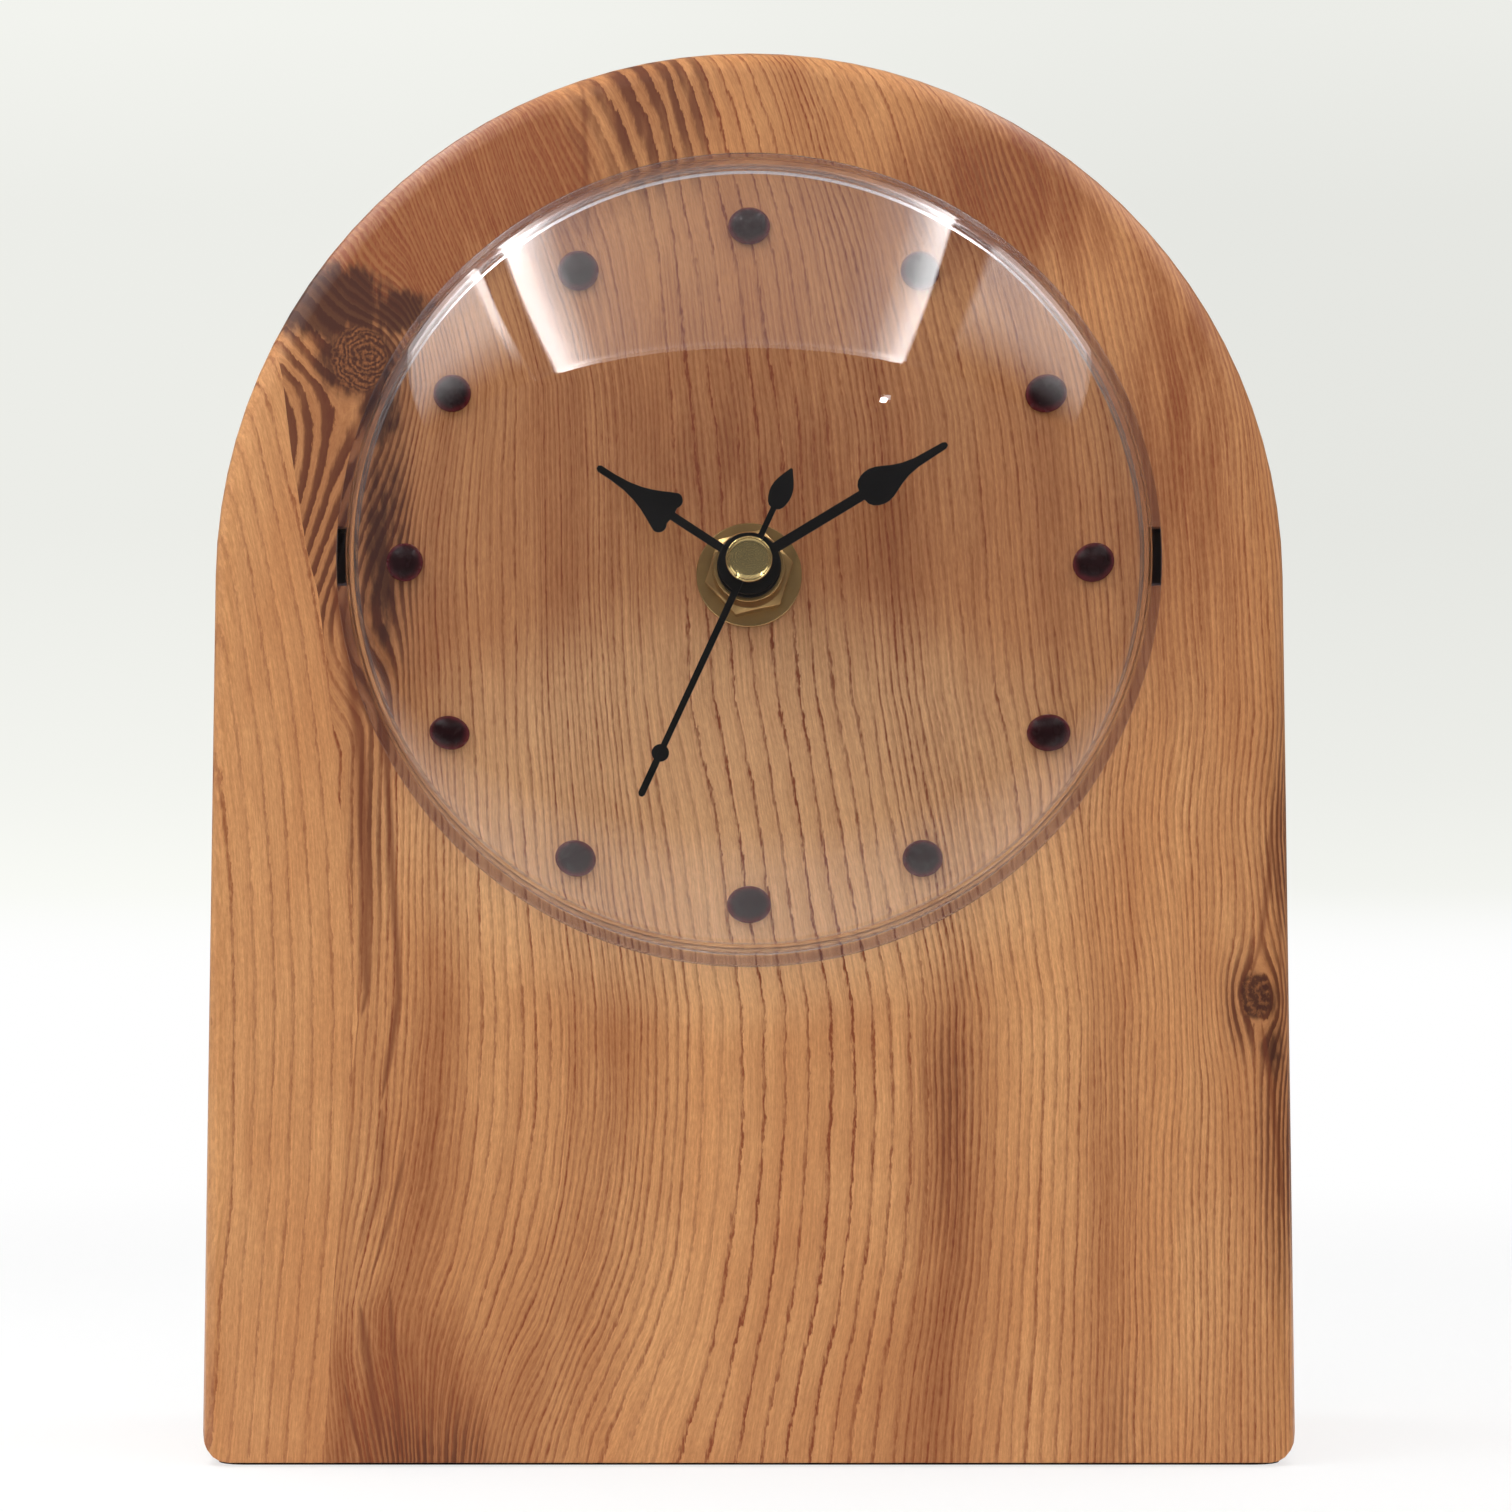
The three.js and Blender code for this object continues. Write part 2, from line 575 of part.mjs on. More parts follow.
function middlePlate() {
  const { front, back, halfWidth, low, high } = MID_PLATE;
  const drill = (radius, place) => at(rod(radius, front - 1, back + 1, 12), place);
  return cut(
    block(-halfWidth, halfWidth, front, back, low, high),
    drill(PIPE.minute + 0.3, AXIS.shaft), drill(KNOB.arbor + 0.3, AXIS.knob),
    ...TRAIN_AXES.map((place) => drill(PIVOT.hole, place)),
  );
}

function movementLid() {
  const panel = plate(
    roundedRectangle(-BOX.half, BOX.half, BAY.top, BOX.half, BOX.corner), BOX.lidFront, BOX.lidBack,
  );
  const socket = (place) => at(rod(PIVOT.hole, BOX.lidFront - 1, PIVOT.blind, 12), place);
  const knobHole = at(rod(KNOB.arbor + 0.4, BOX.lidFront - 1, BOX.lidBack + 1, 12), AXIS.knob);
  return cut(panel, knobHole, ...[AXIS.shaft, ...TRAIN_AXES].map(socket));
}

// Stator: a lower bar with the rotor's hole, and two legs up to the coil's core.
function stator() {
  const { front, back, left, right, top, bar } = STATOR;
  const [across, up] = AXIS.rotor;
  const frame = join(
    block(left, right, front, back, up - bar / 2, up + bar / 2),
    block(left, left + bar, front, back, up - bar / 2, top),
    block(right - bar, right, front, back, up - bar / 2, top),
    at(rod(STATOR.rim, front, back, 24), [across, up]),
  );
  return cut(frame, at(rod(STATOR.hole, front - 1, back + 1, 24), [across, up]));
}

const CORE_UP = STATOR.top - CORE.height / 2;
const coilCore = () => block(
  STATOR.left, STATOR.right, CORE.front, CORE.back, CORE_UP - CORE.height / 2, CORE_UP + CORE.height / 2,
);

function coil() {
  const depth = (CORE.front + CORE.back) / 2;
  const shape = new THREE.Shape(arc(0, 0, COIL.radius, 0, 345, 23));
  const halfUp = CORE.height / 2 + COIL.clearance;
  const halfDeep = (CORE.back - CORE.front) / 2 + COIL.clearance;
  shape.holes.push(new THREE.Path([
    vec(-halfUp, -halfDeep), vec(-halfUp, halfDeep), vec(halfUp, halfDeep), vec(halfUp, -halfDeep),
  ]));
  const length = COIL.right - COIL.left;
  const winding = new THREE.ExtrudeGeometry(shape, { depth: length, bevelEnabled: false });
  return winding.rotateY(Math.PI / 2).translate(COIL.left, depth, CORE_UP);
}

const circuitBoard = () => block(BOARD.left, BOARD.right, BOARD.front, BOARD.back, BOARD.low, BOARD.high);

function alongWidth(profile, segments, depth, up) {
  return turned(profile, segments).rotateZ(-Math.PI / 2).translate(0, depth, up);
}

const quartzCrystal = () => alongWidth(
  [[0, CRYSTAL.left], [CRYSTAL.radius, CRYSTAL.left], [CRYSTAL.radius, CRYSTAL.right], [0, CRYSTAL.right]],
  12, CRYSTAL.depth, CRYSTAL.height,
);

const controlChip = () => block(CHIP.left, CHIP.right, BOARD.back + FIT_GAP, CHIP.back, CHIP.low, CHIP.high);

function battery() {
  const { radius, left, right, nub, nubLength } = CELL;
  return alongWidth([
    [0, left], [radius - 0.5, left], [radius, left + 0.5], [radius, right - 0.5], [radius - 0.5, right],
    [nub, right], [nub, right + nubLength], [0, right + nubLength],
  ], 24, CELL.depth, CELL.height);
}

// A contact strip against the bay's end wall; a bow lets it spring against the cell.
function contact(side, bow) {
  const wall = BOX.half - BOX.wall - FIT_GAP;
  const middle = (CONTACT.front + CONTACT.back) / 2;
  const strip = new THREE.Shape([
    vec(wall, CONTACT.front), vec(wall - bow, middle), vec(wall, CONTACT.back),
    vec(wall - CONTACT.thickness, CONTACT.back), vec(wall - CONTACT.thickness - bow, middle),
    vec(wall - CONTACT.thickness, CONTACT.front),
  ].map((p) => vec(side * p.x, p.y)));
  const geometry = new THREE.ExtrudeGeometry(strip, { depth: 2 * CONTACT.halfHeight, bevelEnabled: false });
  return geometry.translate(0, 0, CELL.height - CONTACT.halfHeight);
}

const finish = (color, roughness, metalness = 0) => (
  new THREE.MeshStandardMaterial({ color, roughness, metalness })
);
const WOOD_FILM = finish('#bd8352', 0.45);
const HARDBOARD = finish('#5b4230', 0.8);
const FELT = finish('#2b2623', 0.95);
const STEEL = finish('#b9bbbd', 0.35, 1);
const BRASS = finish('#c2a45a', 0.22, 1);
const BLACK_PAINT = finish('#0b0b0c', 0.5);
const BEAD = finish('#2a1b19', 0.12);
const CLEAR = new THREE.MeshStandardMaterial({
  color: '#f4f2f2', roughness: 0.05, transparent: true, opacity: 0.25,
});
const BLACK_PLASTIC = finish('#161718', 0.55);
const WHITE_PLASTIC = finish('#e6e4dc', 0.5);
const RUBBER = finish('#1c1c1c', 0.85);
const COPPER = finish('#a4562c', 0.4, 1);
const BOARD_GREEN = finish('#2f6b3c', 0.6);
const MAGNET_GREY = finish('#4c4b4d', 0.6, 0.6);
const CELL_WRAP = finish('#31465c', 0.4);

const clock = new THREE.Group();
const dialGroup = new THREE.Group();
dialGroup.position.set(0, faceY(ARCH_CENTRE_Z), ARCH_CENTRE_Z);
dialGroup.rotation.x = -FACE_LEAN;
dialGroup.updateMatrix();
clock.add(dialGroup);

function add(parent, name, geometry, material, place = [0, 0], turn = 0) {
  const mesh = new THREE.Mesh(toGeometry(toSolid(geometry)), material);
  mesh.name = name;
  mesh.position.set(place[0], 0, place[1]);
  mesh.rotation.y = turn;
  parent.add(mesh);
}

add(clock, 'case_shell', caseShell(dialGroup.matrix), WOOD_FILM);
add(clock, 'rear_cover', rearCover(), HARDBOARD);
add(clock, 'base_pad', basePad(), FELT);
BOSS.places.forEach((place, i) => add(clock, `rear_screw_${i + 1}`, rearScrew(), STEEL, place));

add(dialGroup, 'lens', lens(), CLEAR);
range(MARKER.count).forEach((i) => {
  const place = polar([0, DIAL_RISE], MARKER.ring, 60 - 30 * i);
  add(dialGroup, `hour_marker_${String(i + 1).padStart(2, '0')}`, marker(), BEAD, place);
});

add(dialGroup, 'flat_washer', tube(WASHER.radius, WASHER.bore, -WASHER.high, -WASHER.low, 32), BRASS);
add(dialGroup, 'hex_nut', hexNut(), BRASS);
const bushing = tube(THREAD.radius, THREAD.bore, -THREAD.high, BOX.front + BOX.wall, 24);
add(dialGroup, 'threaded_bushing', bushing, BRASS);
add(dialGroup, 'rubber_gasket', tube(GASKET.radius, GASKET.bore, GASKET.front, GASKET.back, 24), RUBBER);

add(dialGroup, 'hour_hand_bush', hourHandBush(), BRASS);
add(dialGroup, 'hour_hand', hand(HOUR, [hourBlade()]), BLACK_PAINT, AXIS.shaft, HOUR.angle * DEG);
add(dialGroup, 'minute_hand', hand(MINUTE, [minuteBlade()]), BLACK_PAINT, AXIS.shaft, MINUTE.angle * DEG);
add(dialGroup, 'second_hand', secondHand(), BLACK_PAINT, AXIS.shaft, SECOND.angle * DEG);
add(dialGroup, 'second_cap', secondCap(), BRASS);

add(dialGroup, 'movement_case', movementCase(), BLACK_PLASTIC);
add(dialGroup, 'middle_plate', middlePlate(), WHITE_PLASTIC);
add(dialGroup, 'movement_lid', movementLid(), BLACK_PLASTIC);
add(dialGroup, 'hour_wheel', hourWheel(), WHITE_PLASTIC);
add(dialGroup, 'minute_pipe', minutePipe(), WHITE_PLASTIC);
add(dialGroup, 'motion_wheel', motionWheel(), WHITE_PLASTIC, AXIS.motion);
add(dialGroup, 'setting_knob', settingKnob(), BLACK_PLASTIC, AXIS.knob);
add(dialGroup, 'centre_wheel', centreWheel(), WHITE_PLASTIC);
add(dialGroup, 'second_wheel', secondWheel(), WHITE_PLASTIC);
add(dialGroup, 'intermediate_wheel', intermediateWheel(), WHITE_PLASTIC, AXIS.middle);
add(dialGroup, 'third_wheel', thirdWheel(), WHITE_PLASTIC, AXIS.third);
add(dialGroup, 'rotor', rotor(), WHITE_PLASTIC, AXIS.rotor);
const magnet = tube(MAGNET.radius, MAGNET.bore, MAGNET.front, MAGNET.back, 20);
add(dialGroup, 'rotor_magnet', magnet, MAGNET_GREY, AXIS.rotor);
add(dialGroup, 'stator', stator(), STEEL);
add(dialGroup, 'coil_core', coilCore(), STEEL);
add(dialGroup, 'coil', coil(), COPPER);
add(dialGroup, 'circuit_board', circuitBoard(), BOARD_GREEN);
add(dialGroup, 'quartz_crystal', quartzCrystal(), STEEL);
add(dialGroup, 'control_chip', controlChip(), BLACK_PLASTIC);
add(dialGroup, 'battery', battery(), CELL_WRAP);
add(dialGroup, 'contact_positive', contact(1, 0), STEEL);
add(dialGroup, 'contact_negative', contact(-1, CONTACT.bow), STEEL);

export default clock;
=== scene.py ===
"""Dresses the packed table clock: wood-grain film, domed lens, black spade hands and brass fittings."""

import json
import math

import bmesh
import bpy
from bpy.props import FloatProperty, FloatVectorProperty, IntProperty, PointerProperty
from mathutils import Matrix, Vector


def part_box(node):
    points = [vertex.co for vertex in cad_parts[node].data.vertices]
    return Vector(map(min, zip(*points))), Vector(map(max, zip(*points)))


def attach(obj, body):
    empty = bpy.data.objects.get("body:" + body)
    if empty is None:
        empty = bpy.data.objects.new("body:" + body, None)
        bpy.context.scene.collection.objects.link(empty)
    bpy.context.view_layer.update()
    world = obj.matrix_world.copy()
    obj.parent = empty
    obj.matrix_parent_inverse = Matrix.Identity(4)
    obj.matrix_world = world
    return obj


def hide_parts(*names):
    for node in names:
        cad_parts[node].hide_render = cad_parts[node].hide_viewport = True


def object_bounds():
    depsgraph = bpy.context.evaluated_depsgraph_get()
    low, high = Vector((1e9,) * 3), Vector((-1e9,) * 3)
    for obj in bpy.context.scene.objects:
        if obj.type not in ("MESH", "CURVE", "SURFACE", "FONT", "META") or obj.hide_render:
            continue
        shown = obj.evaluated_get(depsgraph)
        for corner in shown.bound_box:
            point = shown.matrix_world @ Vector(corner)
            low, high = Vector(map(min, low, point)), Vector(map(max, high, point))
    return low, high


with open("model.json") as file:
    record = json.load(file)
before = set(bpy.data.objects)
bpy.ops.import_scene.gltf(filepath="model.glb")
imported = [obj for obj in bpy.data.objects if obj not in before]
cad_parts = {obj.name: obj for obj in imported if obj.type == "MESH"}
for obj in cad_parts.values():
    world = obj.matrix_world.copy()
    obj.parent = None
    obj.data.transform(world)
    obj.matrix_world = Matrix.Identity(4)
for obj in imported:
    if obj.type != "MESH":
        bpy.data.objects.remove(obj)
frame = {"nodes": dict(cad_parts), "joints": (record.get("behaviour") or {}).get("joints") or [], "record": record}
CAD_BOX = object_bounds()

bl_info = {
    "name": "Table Clock",
    "version": (1, 0, 0),
    "blender": (4, 5, 0),
    "location": "3D View > Sidebar > Clock",
    "description": "Builds the looks of an arched table clock round its packed solids",
    "category": "Add Mesh",
}

MM = 0.001
SHAFT = next(j for j in frame["joints"] if j["name"] == "minute_spin")
ACROSS = Vector((1, 0, 0))
INWARD = Vector(SHAFT["axis"])
UP = ACROSS.cross(INWARD)
LEAN = math.tan(math.atan2(UP.y, UP.z))
FOOT_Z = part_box("case_shell")[0].z
FACE_Y = SHAFT["pos_m"][1] - (SHAFT["pos_m"][2] - FOOT_Z) * LEAN
# Where the plane of the face meets height zero, in millimetres.
FACE_START = (FACE_Y - FOOT_Z * LEAN) / MM

# The dial's own frame in millimetres: across, inwards and up the face, from the shaft's place on the face.
DIAL = (
    Matrix.Translation(SHAFT["pos_m"])
    @ Matrix((ACROSS, INWARD, UP)).transposed().to_4x4()
    @ Matrix.Scale(MM, 4)
)
DIAL_RISE = 1.9
MARKER_RING = 50.0
LENS_RISE = 2.8
CASE_WALL = 3.0

# Width, height and tilt of each bead, as shares of its size and in degrees: they are drops set by hand.
BEAD_OVALS = (
    (1.0, 1.0, 0), (1.08, 0.98, 20), (1.1, 0.98, 30), (1.12, 0.95, 0), (1.02, 0.95, 0), (1.12, 0.96, 0),
    (1.04, 0.93, -15), (1.04, 0.86, -12), (0.94, 0.98, 0), (0.97, 0.97, 0), (1.05, 1.05, 0),
    (1.08, 0.97, 0),
)


def linear(red, green, blue):
    """A screen colour, 0 to 255, as the linear colour that shaders take."""
    return tuple(
        (c / 255 / 12.92) if c <= 10.3 else ((c / 255 + 0.055) / 1.055) ** 2.4
        for c in (red, green, blue)
    )


# Values a user would change


def colour(name, description, screen):
    return FloatVectorProperty(
        name=name, description=description, subtype="COLOR", size=3, min=0, max=1,
        default=linear(*screen),
    )


def length(name, description, millimetres):
    return FloatProperty(
        name=name, description=description, unit="LENGTH", subtype="DISTANCE", min=0, precision=5,
        default=millimetres * MM,
    )


def share(name, description, default):
    return FloatProperty(
        name=name, description=description, subtype="FACTOR", min=0, max=1, default=default
    )


def brightness(name, description, default):
    return FloatProperty(name=name, description=description, min=0, max=100, default=default)


class CaseLooks(bpy.types.PropertyGroup):
    """Film, board and foot of the case"""

    light: colour("Light Wood", "Palest wood between the growth lines", (227, 166, 110))
    middle: colour("Middle Wood", "Usual wood between the growth lines", (218, 153, 98))
    red: colour("Red Wood", "Broad darker bands along the grain", (168, 106, 62))
    # Painted light: this paler colour stands for the extra light that falls through the lens on the lower half of
    # the face.
    pale: colour("Pale Wood", "Paler wood under the lower half of the lens", (244, 192, 138))
    line: colour("Growth Line", "Late wood at the end of each growth ring", (142, 70, 36))
    knot: colour("Knot", "Dark heart wood in and around the knots", (76, 40, 28))
    board: colour("Bare Board", "Inside of the case, where there is no film", (150, 118, 84))
    cover: colour("Rear Cover", "Hardboard of the rear cover", (104, 76, 54))
    pad: colour("Foot Pad", "Felt under the foot", (40, 35, 32))
    roughness: share("Film Roughness", "Roughness of the satin film", 0.4)
    edge: length("Edge Softness", "Width of the softened edges of case and cover", 0.35)


class LensLooks(bpy.types.PropertyGroup):
    """Clear domed lens"""

    tint: colour("Tint", "Faint tint of the moulded lens", (246, 245, 246))
    rim: colour("Rim Tint", "Deeper violet tint of the rim", (228, 220, 228))
    shade: colour("Rim Shade", "Light that the rim lets through to the face", (234, 234, 240))
    flange: length("Flange Radius", "Outer radius of the rim that lies on the face", 60.0)
    flange_height: length("Flange Height", "Height of the rim above the face", 2.2)
    dome: length("Dome Radius", "Outer radius of the dome at its foot", 58.4)
    foot: length("Dome Foot", "Height at which the wall starts to curve in", 5.0)
    apex: length("Apex", "Height of the dome above the face", 18.0)
    wall: length("Wall", "Thickness of the dome", 1.1)
    steps: IntProperty(name="Steps", description="Steps round the dome", default=144, min=48, max=256)


class DialLooks(bpy.types.PropertyGroup):
    """Markers, hands and the fittings in the middle"""

    bead: colour("Bead", "Dark bead markers", (40, 14, 17))
    bead_edge: colour("Bead Edge", "Wine red at the thin edge of a bead", (106, 42, 50))
    bead_radius: length("Bead Radius", "Radius of a bead marker", 2.85)
    bead_height: length("Bead Height", "Height of a bead marker", 1.9)
    black: colour("Hand Black", "Matt black paint of the hands", (9, 9, 9))
    brass: colour("Brass", "Washer, nut, bushing and collar", (214, 176, 114))
    cap: colour("Cap", "Polished brass of the cap", (222, 200, 138))
    edge: length("Hand Edge", "Softened edge of the stamped hands", 0.08)


class MovementLooks(bpy.types.PropertyGroup):
    """Quartz movement and its cell"""

    black: colour("Black Plastic", "Movement box, lid and knob", (24, 25, 27))
    white: colour("White Plastic", "Wheels and the middle plate", (226, 222, 210))
    steel: colour("Steel", "Screws, contacts and the motor's iron", (190, 190, 188))
    copper: colour("Copper", "Winding of the motor's coil", (184, 104, 58))
    wrap: colour("Cell Sleeve", "Plain sleeve of the cell", (62, 84, 104))
    rubber: colour("Rubber", "Gasket behind the front panel", (30, 30, 31))
    board: colour("Circuit Board", "Lacquer of the circuit board", (44, 104, 62))
    edge: length("Edge Softness", "Width of the moulded edges", 0.3)


class StageLooks(bpy.types.PropertyGroup):
    """Camera, floor, wall and lights"""

    distance: length("Camera Distance", "From the camera to the origin, along the view", 768.97)
    height: length("Camera Height", "Height of the camera above the table", 101)
    lens: FloatProperty(
        name="Focal Length", description="Focal length in mm", default=123.98, min=10, max=400
    )
    wall: colour("Wall", "Pale wall behind the table", (239, 240, 235))
    floor: colour("Table", "White table", (255, 255, 255))
    world: brightness("World", "Light from all round", 0.25)
    ceiling: brightness("Ceiling", "Brightness of the roof overhead", 1)
    sides: brightness("Sides", "Brightness of the side panels", 0.6)
    fill: brightness("Fill", "Brightness of the soft light in front", 1.4)
    behind: brightness("Behind", "Brightness of the soft light behind", 0.9)
    spark: brightness("Spark", "Brightness of the small lamp that glints in the lens", 60)


# Shader nodes


class Nodes:
    """Adds nodes to a tree; an input is a number, a colour or another node's socket."""

    def __init__(self, tree):
        self.tree = tree

    def join(self, value, socket):
        if isinstance(value, bpy.types.NodeSocket):
            self.tree.links.new(value, socket)
        elif socket.type == "RGBA":
            socket.default_value = (*value[:3], 1)
        else:
            socket.default_value = value

    def add(self, kind, inputs=None, **settings):
        node = self.tree.nodes.new("ShaderNode" + kind)
        for key, value in settings.items():
            setattr(node, key, value)
        for key, value in (inputs or {}).items():
            self.join(value, node.inputs[key])
        return node

    def math(self, how, *values):
        return self.add("Math", dict(enumerate(values)), operation=how).outputs[0]

    def total(self, *values):
        out = values[0]
        for value in values[1:]:
            out = self.math("ADD", out, value)
        return out

    def product(self, *values):
        out = values[0]
        for value in values[1:]:
            out = self.math("MULTIPLY", out, value)
        return out

    def scaled(self, value, factor, offset=0.0):
        return self.math("MULTIPLY_ADD", value, factor, offset)

    def ease(self, value, low, high, bottom=0.0, top=1.0):
        """Rises smoothly from bottom to top as the value goes from low to high."""
        inputs = {"Value": value, "From Min": low, "From Max": high, "To Min": bottom, "To Max": top}
        return self.add("MapRange", inputs, interpolation_type="SMOOTHSTEP").outputs[0]

    def curve(self, value, points):
        """Straight runs between (position, value) points."""
        low, high = points[0][0], points[-1][0]
        bottom, top = min(p[1] for p in points), max(p[1] for p in points)
        along = self.add("MapRange", {"Value": value, "From Min": low, "From Max": high}).outputs[0]
        node = self.add("FloatCurve", {1: along})
        curve = node.mapping.curves[0]
        while len(curve.points) < len(points):
            curve.points.new(0.5, 0.5)
        for point, (x, y) in zip(curve.points, points):
            point.location = ((x - low) / (high - low), (y - bottom) / (top - bottom))
            point.handle_type = "VECTOR"
        node.mapping.update()
        return self.scaled(node.outputs[0], top - bottom, bottom)

    def point(self, x, y=0.0, z=0.0):
        return self.add("CombineXYZ", {0: x, 1: y, 2: z}).outputs[0]

    def noise(self, where, detail=2.0, roughness=0.5, distortion=0.0):
        inputs = {
            "Vector": where, "Scale": 1.0, "Detail": detail, "Roughness": roughness,
            "Distortion": distortion,
        }
        return self.add("TexNoise", inputs).outputs["Fac"]

    def mix(self, factor, a, b, how="MIX"):
        settings = {"data_type": "RGBA", "blend_type": how, "clamp_factor": True}
        return self.add("Mix", {0: factor, 6: a, 7: b}, **settings).outputs[2]

    def millimetres(self):
        """Object coordinates in millimetres, as a vector and as its three numbers."""
        place = self.add("TexCoord").outputs["Object"]
        vector = self.add("VectorMath", {0: place, "Scale": 1 / MM}, operation="SCALE").outputs[0]
        return (vector, *self.add("SeparateXYZ", {0: vector}).outputs)

    def stretched(self, vector, x, y, z):
        return self.add("VectorMath", {0: vector, 1: (x, y, z)}, operation="MULTIPLY").outputs[0]


def new_group(name, inputs, outputs):
    """An empty shader node group with number inputs (name, default) and named number outputs."""
    tree = bpy.data.node_groups.new(name, "ShaderNodeTree")
    for label, default in inputs:
        socket = tree.interface.new_socket(label, in_out="INPUT", socket_type="NodeSocketFloat")
        socket.default_value = default
    for label in outputs:
        tree.interface.new_socket(label, in_out="OUTPUT", socket_type="NodeSocketFloat")
    given = tree.nodes.new("NodeGroupInput").outputs
    return tree, Nodes(tree), given, tree.nodes.new("NodeGroupOutput").inputs


def spread_roughness(n, given, patches):
    """The given roughness, a little more or less from patch to patch."""
    return n.math("MULTIPLY_ADD", n.scaled(patches, 2, -1), given["Spread"], given["Roughness"])


def skin_group():
    """Fine moulded skin: cloudy patches, a spread of roughness and a pebbled height."""
    found = bpy.data.node_groups.get("Moulded Skin")
    if found:
        return found
    inputs = [("Pebbles per mm", 6.0), ("Roughness", 0.5), ("Spread", 0.1)]
    tree, n, given, out = new_group("Moulded Skin", inputs, ["Patches", "Roughness", "Height"])
    vector = n.millimetres()[0]
    pebbles = n.add("VectorMath", {0: vector, "Scale": given["Pebbles per mm"]}, operation="SCALE")
    patches = n.noise(n.stretched(vector, 0.14, 0.14, 0.14), detail=4)
    n.join(patches, out["Patches"])
    n.join(spread_roughness(n, given, patches), out["Roughness"])
    n.join(n.noise(pebbles.outputs[0]), out["Height"])
    return tree


def turning_group():
    """Marks of machined metal: fine lines round the depth axis and handling stains."""
    found = bpy.data.node_groups.get("Metal Turning")
    if found:
        return found
    inputs = [("Lines per mm", 5.0), ("Roughness", 0.2), ("Spread", 0.08)]
    tree, n, given, out = new_group("Metal Turning", inputs, ["Stain", "Roughness", "Height"])
    vector, x, y, z = n.millimetres()
    lines = n.point(n.math("MULTIPLY", y, given["Lines per mm"]), n.scaled(x, 0.4), n.scaled(z, 0.4))
    stain = n.noise(n.stretched(vector, 0.3, 0.3, 0.3), detail=5)
    n.join(stain, out["Stain"])
    n.join(spread_roughness(n, given, stain), out["Roughness"])
    n.join(n.noise(lines, detail=3), out["Height"])
    return tree


def blank_material(name):
    """A material without nodes, and the maker of its nodes."""
    material = bpy.data.materials.new(name)
    material.use_nodes = True
    material.node_tree.nodes.clear()
    return material, Nodes(material.node_tree)


def new_material(name, **sockets):
    """A material with one Principled shader whose plain values are set by socket name."""
    material, n = blank_material(name)
    shader = n.add("BsdfPrincipled", {key.replace("_", " "): value for key, value in sockets.items()})
    output = n.add("OutputMaterial", {"Surface": shader.outputs[0]})
    return material, n, shader, output


def surface(n, shader, tint, rough, height=None, depth=0.0):
    """Joins a surface's colour, roughness and height, which is so many millimetres deep."""
    n.join(tint, shader.inputs["Base Color"])
    n.join(rough, shader.inputs["Roughness"])
    if height is not None:
        node = n.add("Bump", {"Strength": 1.0, "Distance": depth * MM, "Height": height})
        n.join(node.outputs[0], shader.inputs["Normal"])


def toned(tint, factor):
    return tuple(c * factor for c in tint)


def finished(name, group, inputs, tones, limits, depth, sockets):
    """A material that takes its patches, roughness and height from a shared group."""
    found = bpy.data.materials.get(name)
    if found:
        return found
    material, n, shader, _ = new_material(name, **sockets)
    skin = n.add("Group", inputs, node_tree=group)
    tint = n.mix(n.ease(skin.outputs[0], *limits), *tones)
    surface(n, shader, tint, skin.outputs["Roughness"], skin.outputs["Height"], depth)
    return material


def moulded(name, tint, pebbles=6.0, roughness=0.5, spread=0.1, depth=0.02, tone=0.12, **sockets):
    """Moulded, felted or rubbery material with its skin from the shared group."""
    pale = tuple(min(1, c * (1 + tone) + 0.002) for c in tint)
    inputs = {"Pebbles per mm": pebbles, "Roughness": roughness, "Spread": spread}
    return finished(name, skin_group(), inputs, (toned(tint, 1 - tone), pale), (0.3, 0.7), depth, sockets)


def machined(name, tint, roughness=0.2, spread=0.08, depth=0.004, tone=0.14, metallic=1.0):
    """Metal with turning marks from the shared group."""
    inputs = {"Roughness": roughness, "Spread": spread}
    tones = (toned(tint, 1 - tone), tint)
    return finished(name, turning_group(), inputs, tones, (0.35, 0.65), depth, {"Metallic": metallic})


# Wood-grain film. A label, in millimetres, runs across the planks and stays the same along a growth line.

# Where a run of growth lines starts, the distance between its lines, and how dark they are.
RUNS = (
    (-160, 2.8, 0.6), (-73, 1.9, 0.85), (-58, 1.3, 0.8), (-52, 1.0, 0.75), (-42, 2.0, 0.7),
    (-28, 1.0, 0.75), (-14, 1.6, 0.6), (-8, 2.6, 0.45), (-2, 3.2, 1.0), (17, 2.5, 0.8), (26, 1.05, 0.85),
    (35, 1.8, 0.7), (48, 0.95, 0.65), (60, 1.05, 0.68), (180, 1.05, 0.68),
)
# Broad bands of redder wood, by label.
BANDS = (
    (-160, 0.05), (-80, 0.05), (-64, 0.3), (-58, 0.6), (-50, 0.4), (-45, 0.75), (-39, 0.25), (-29, 0.3),
    (-21, 0.7), (-15, 0.5), (-7, 0.0), (2, 0.2), (12, 0.25), (20, 0.15), (26, 0.5), (31, 0.75),
    (36, 0.25), (42, 0.05), (48, 0.2), (52, 0.55), (57, 0.1), (66, 0.1), (76, 0.35), (100, 0.3),
    (180, 0.35),
)
# How far the lines swing to the left near the table, by place across, and how that grows going down.
FOOT_SWING = (
    (-160, 1), (-62, 2), (-57, 10), (-45, 13), (-32, 14), (-20, 12), (-10, 9), (0, 7), (12, 6.5),
    (30, 4.5), (50, 1.5), (160, 0.5),
)
FOOT_GROWTH = (
    (0, 1), (5, 0.92), (10, 0.8), (15, 0.66), (20, 0.5), (30, 0.26), (40, 0.11), (50, 0.03), (62, 0),
    (210, 0),
)
FOOT_GROWTH_LEFT = (
    (0, 0.15), (8, 0.32), (16, 0.5), (22, 0.5), (30, 0.3), (40, 0.12), (50, 0.03), (62, 0), (210, 0),
)
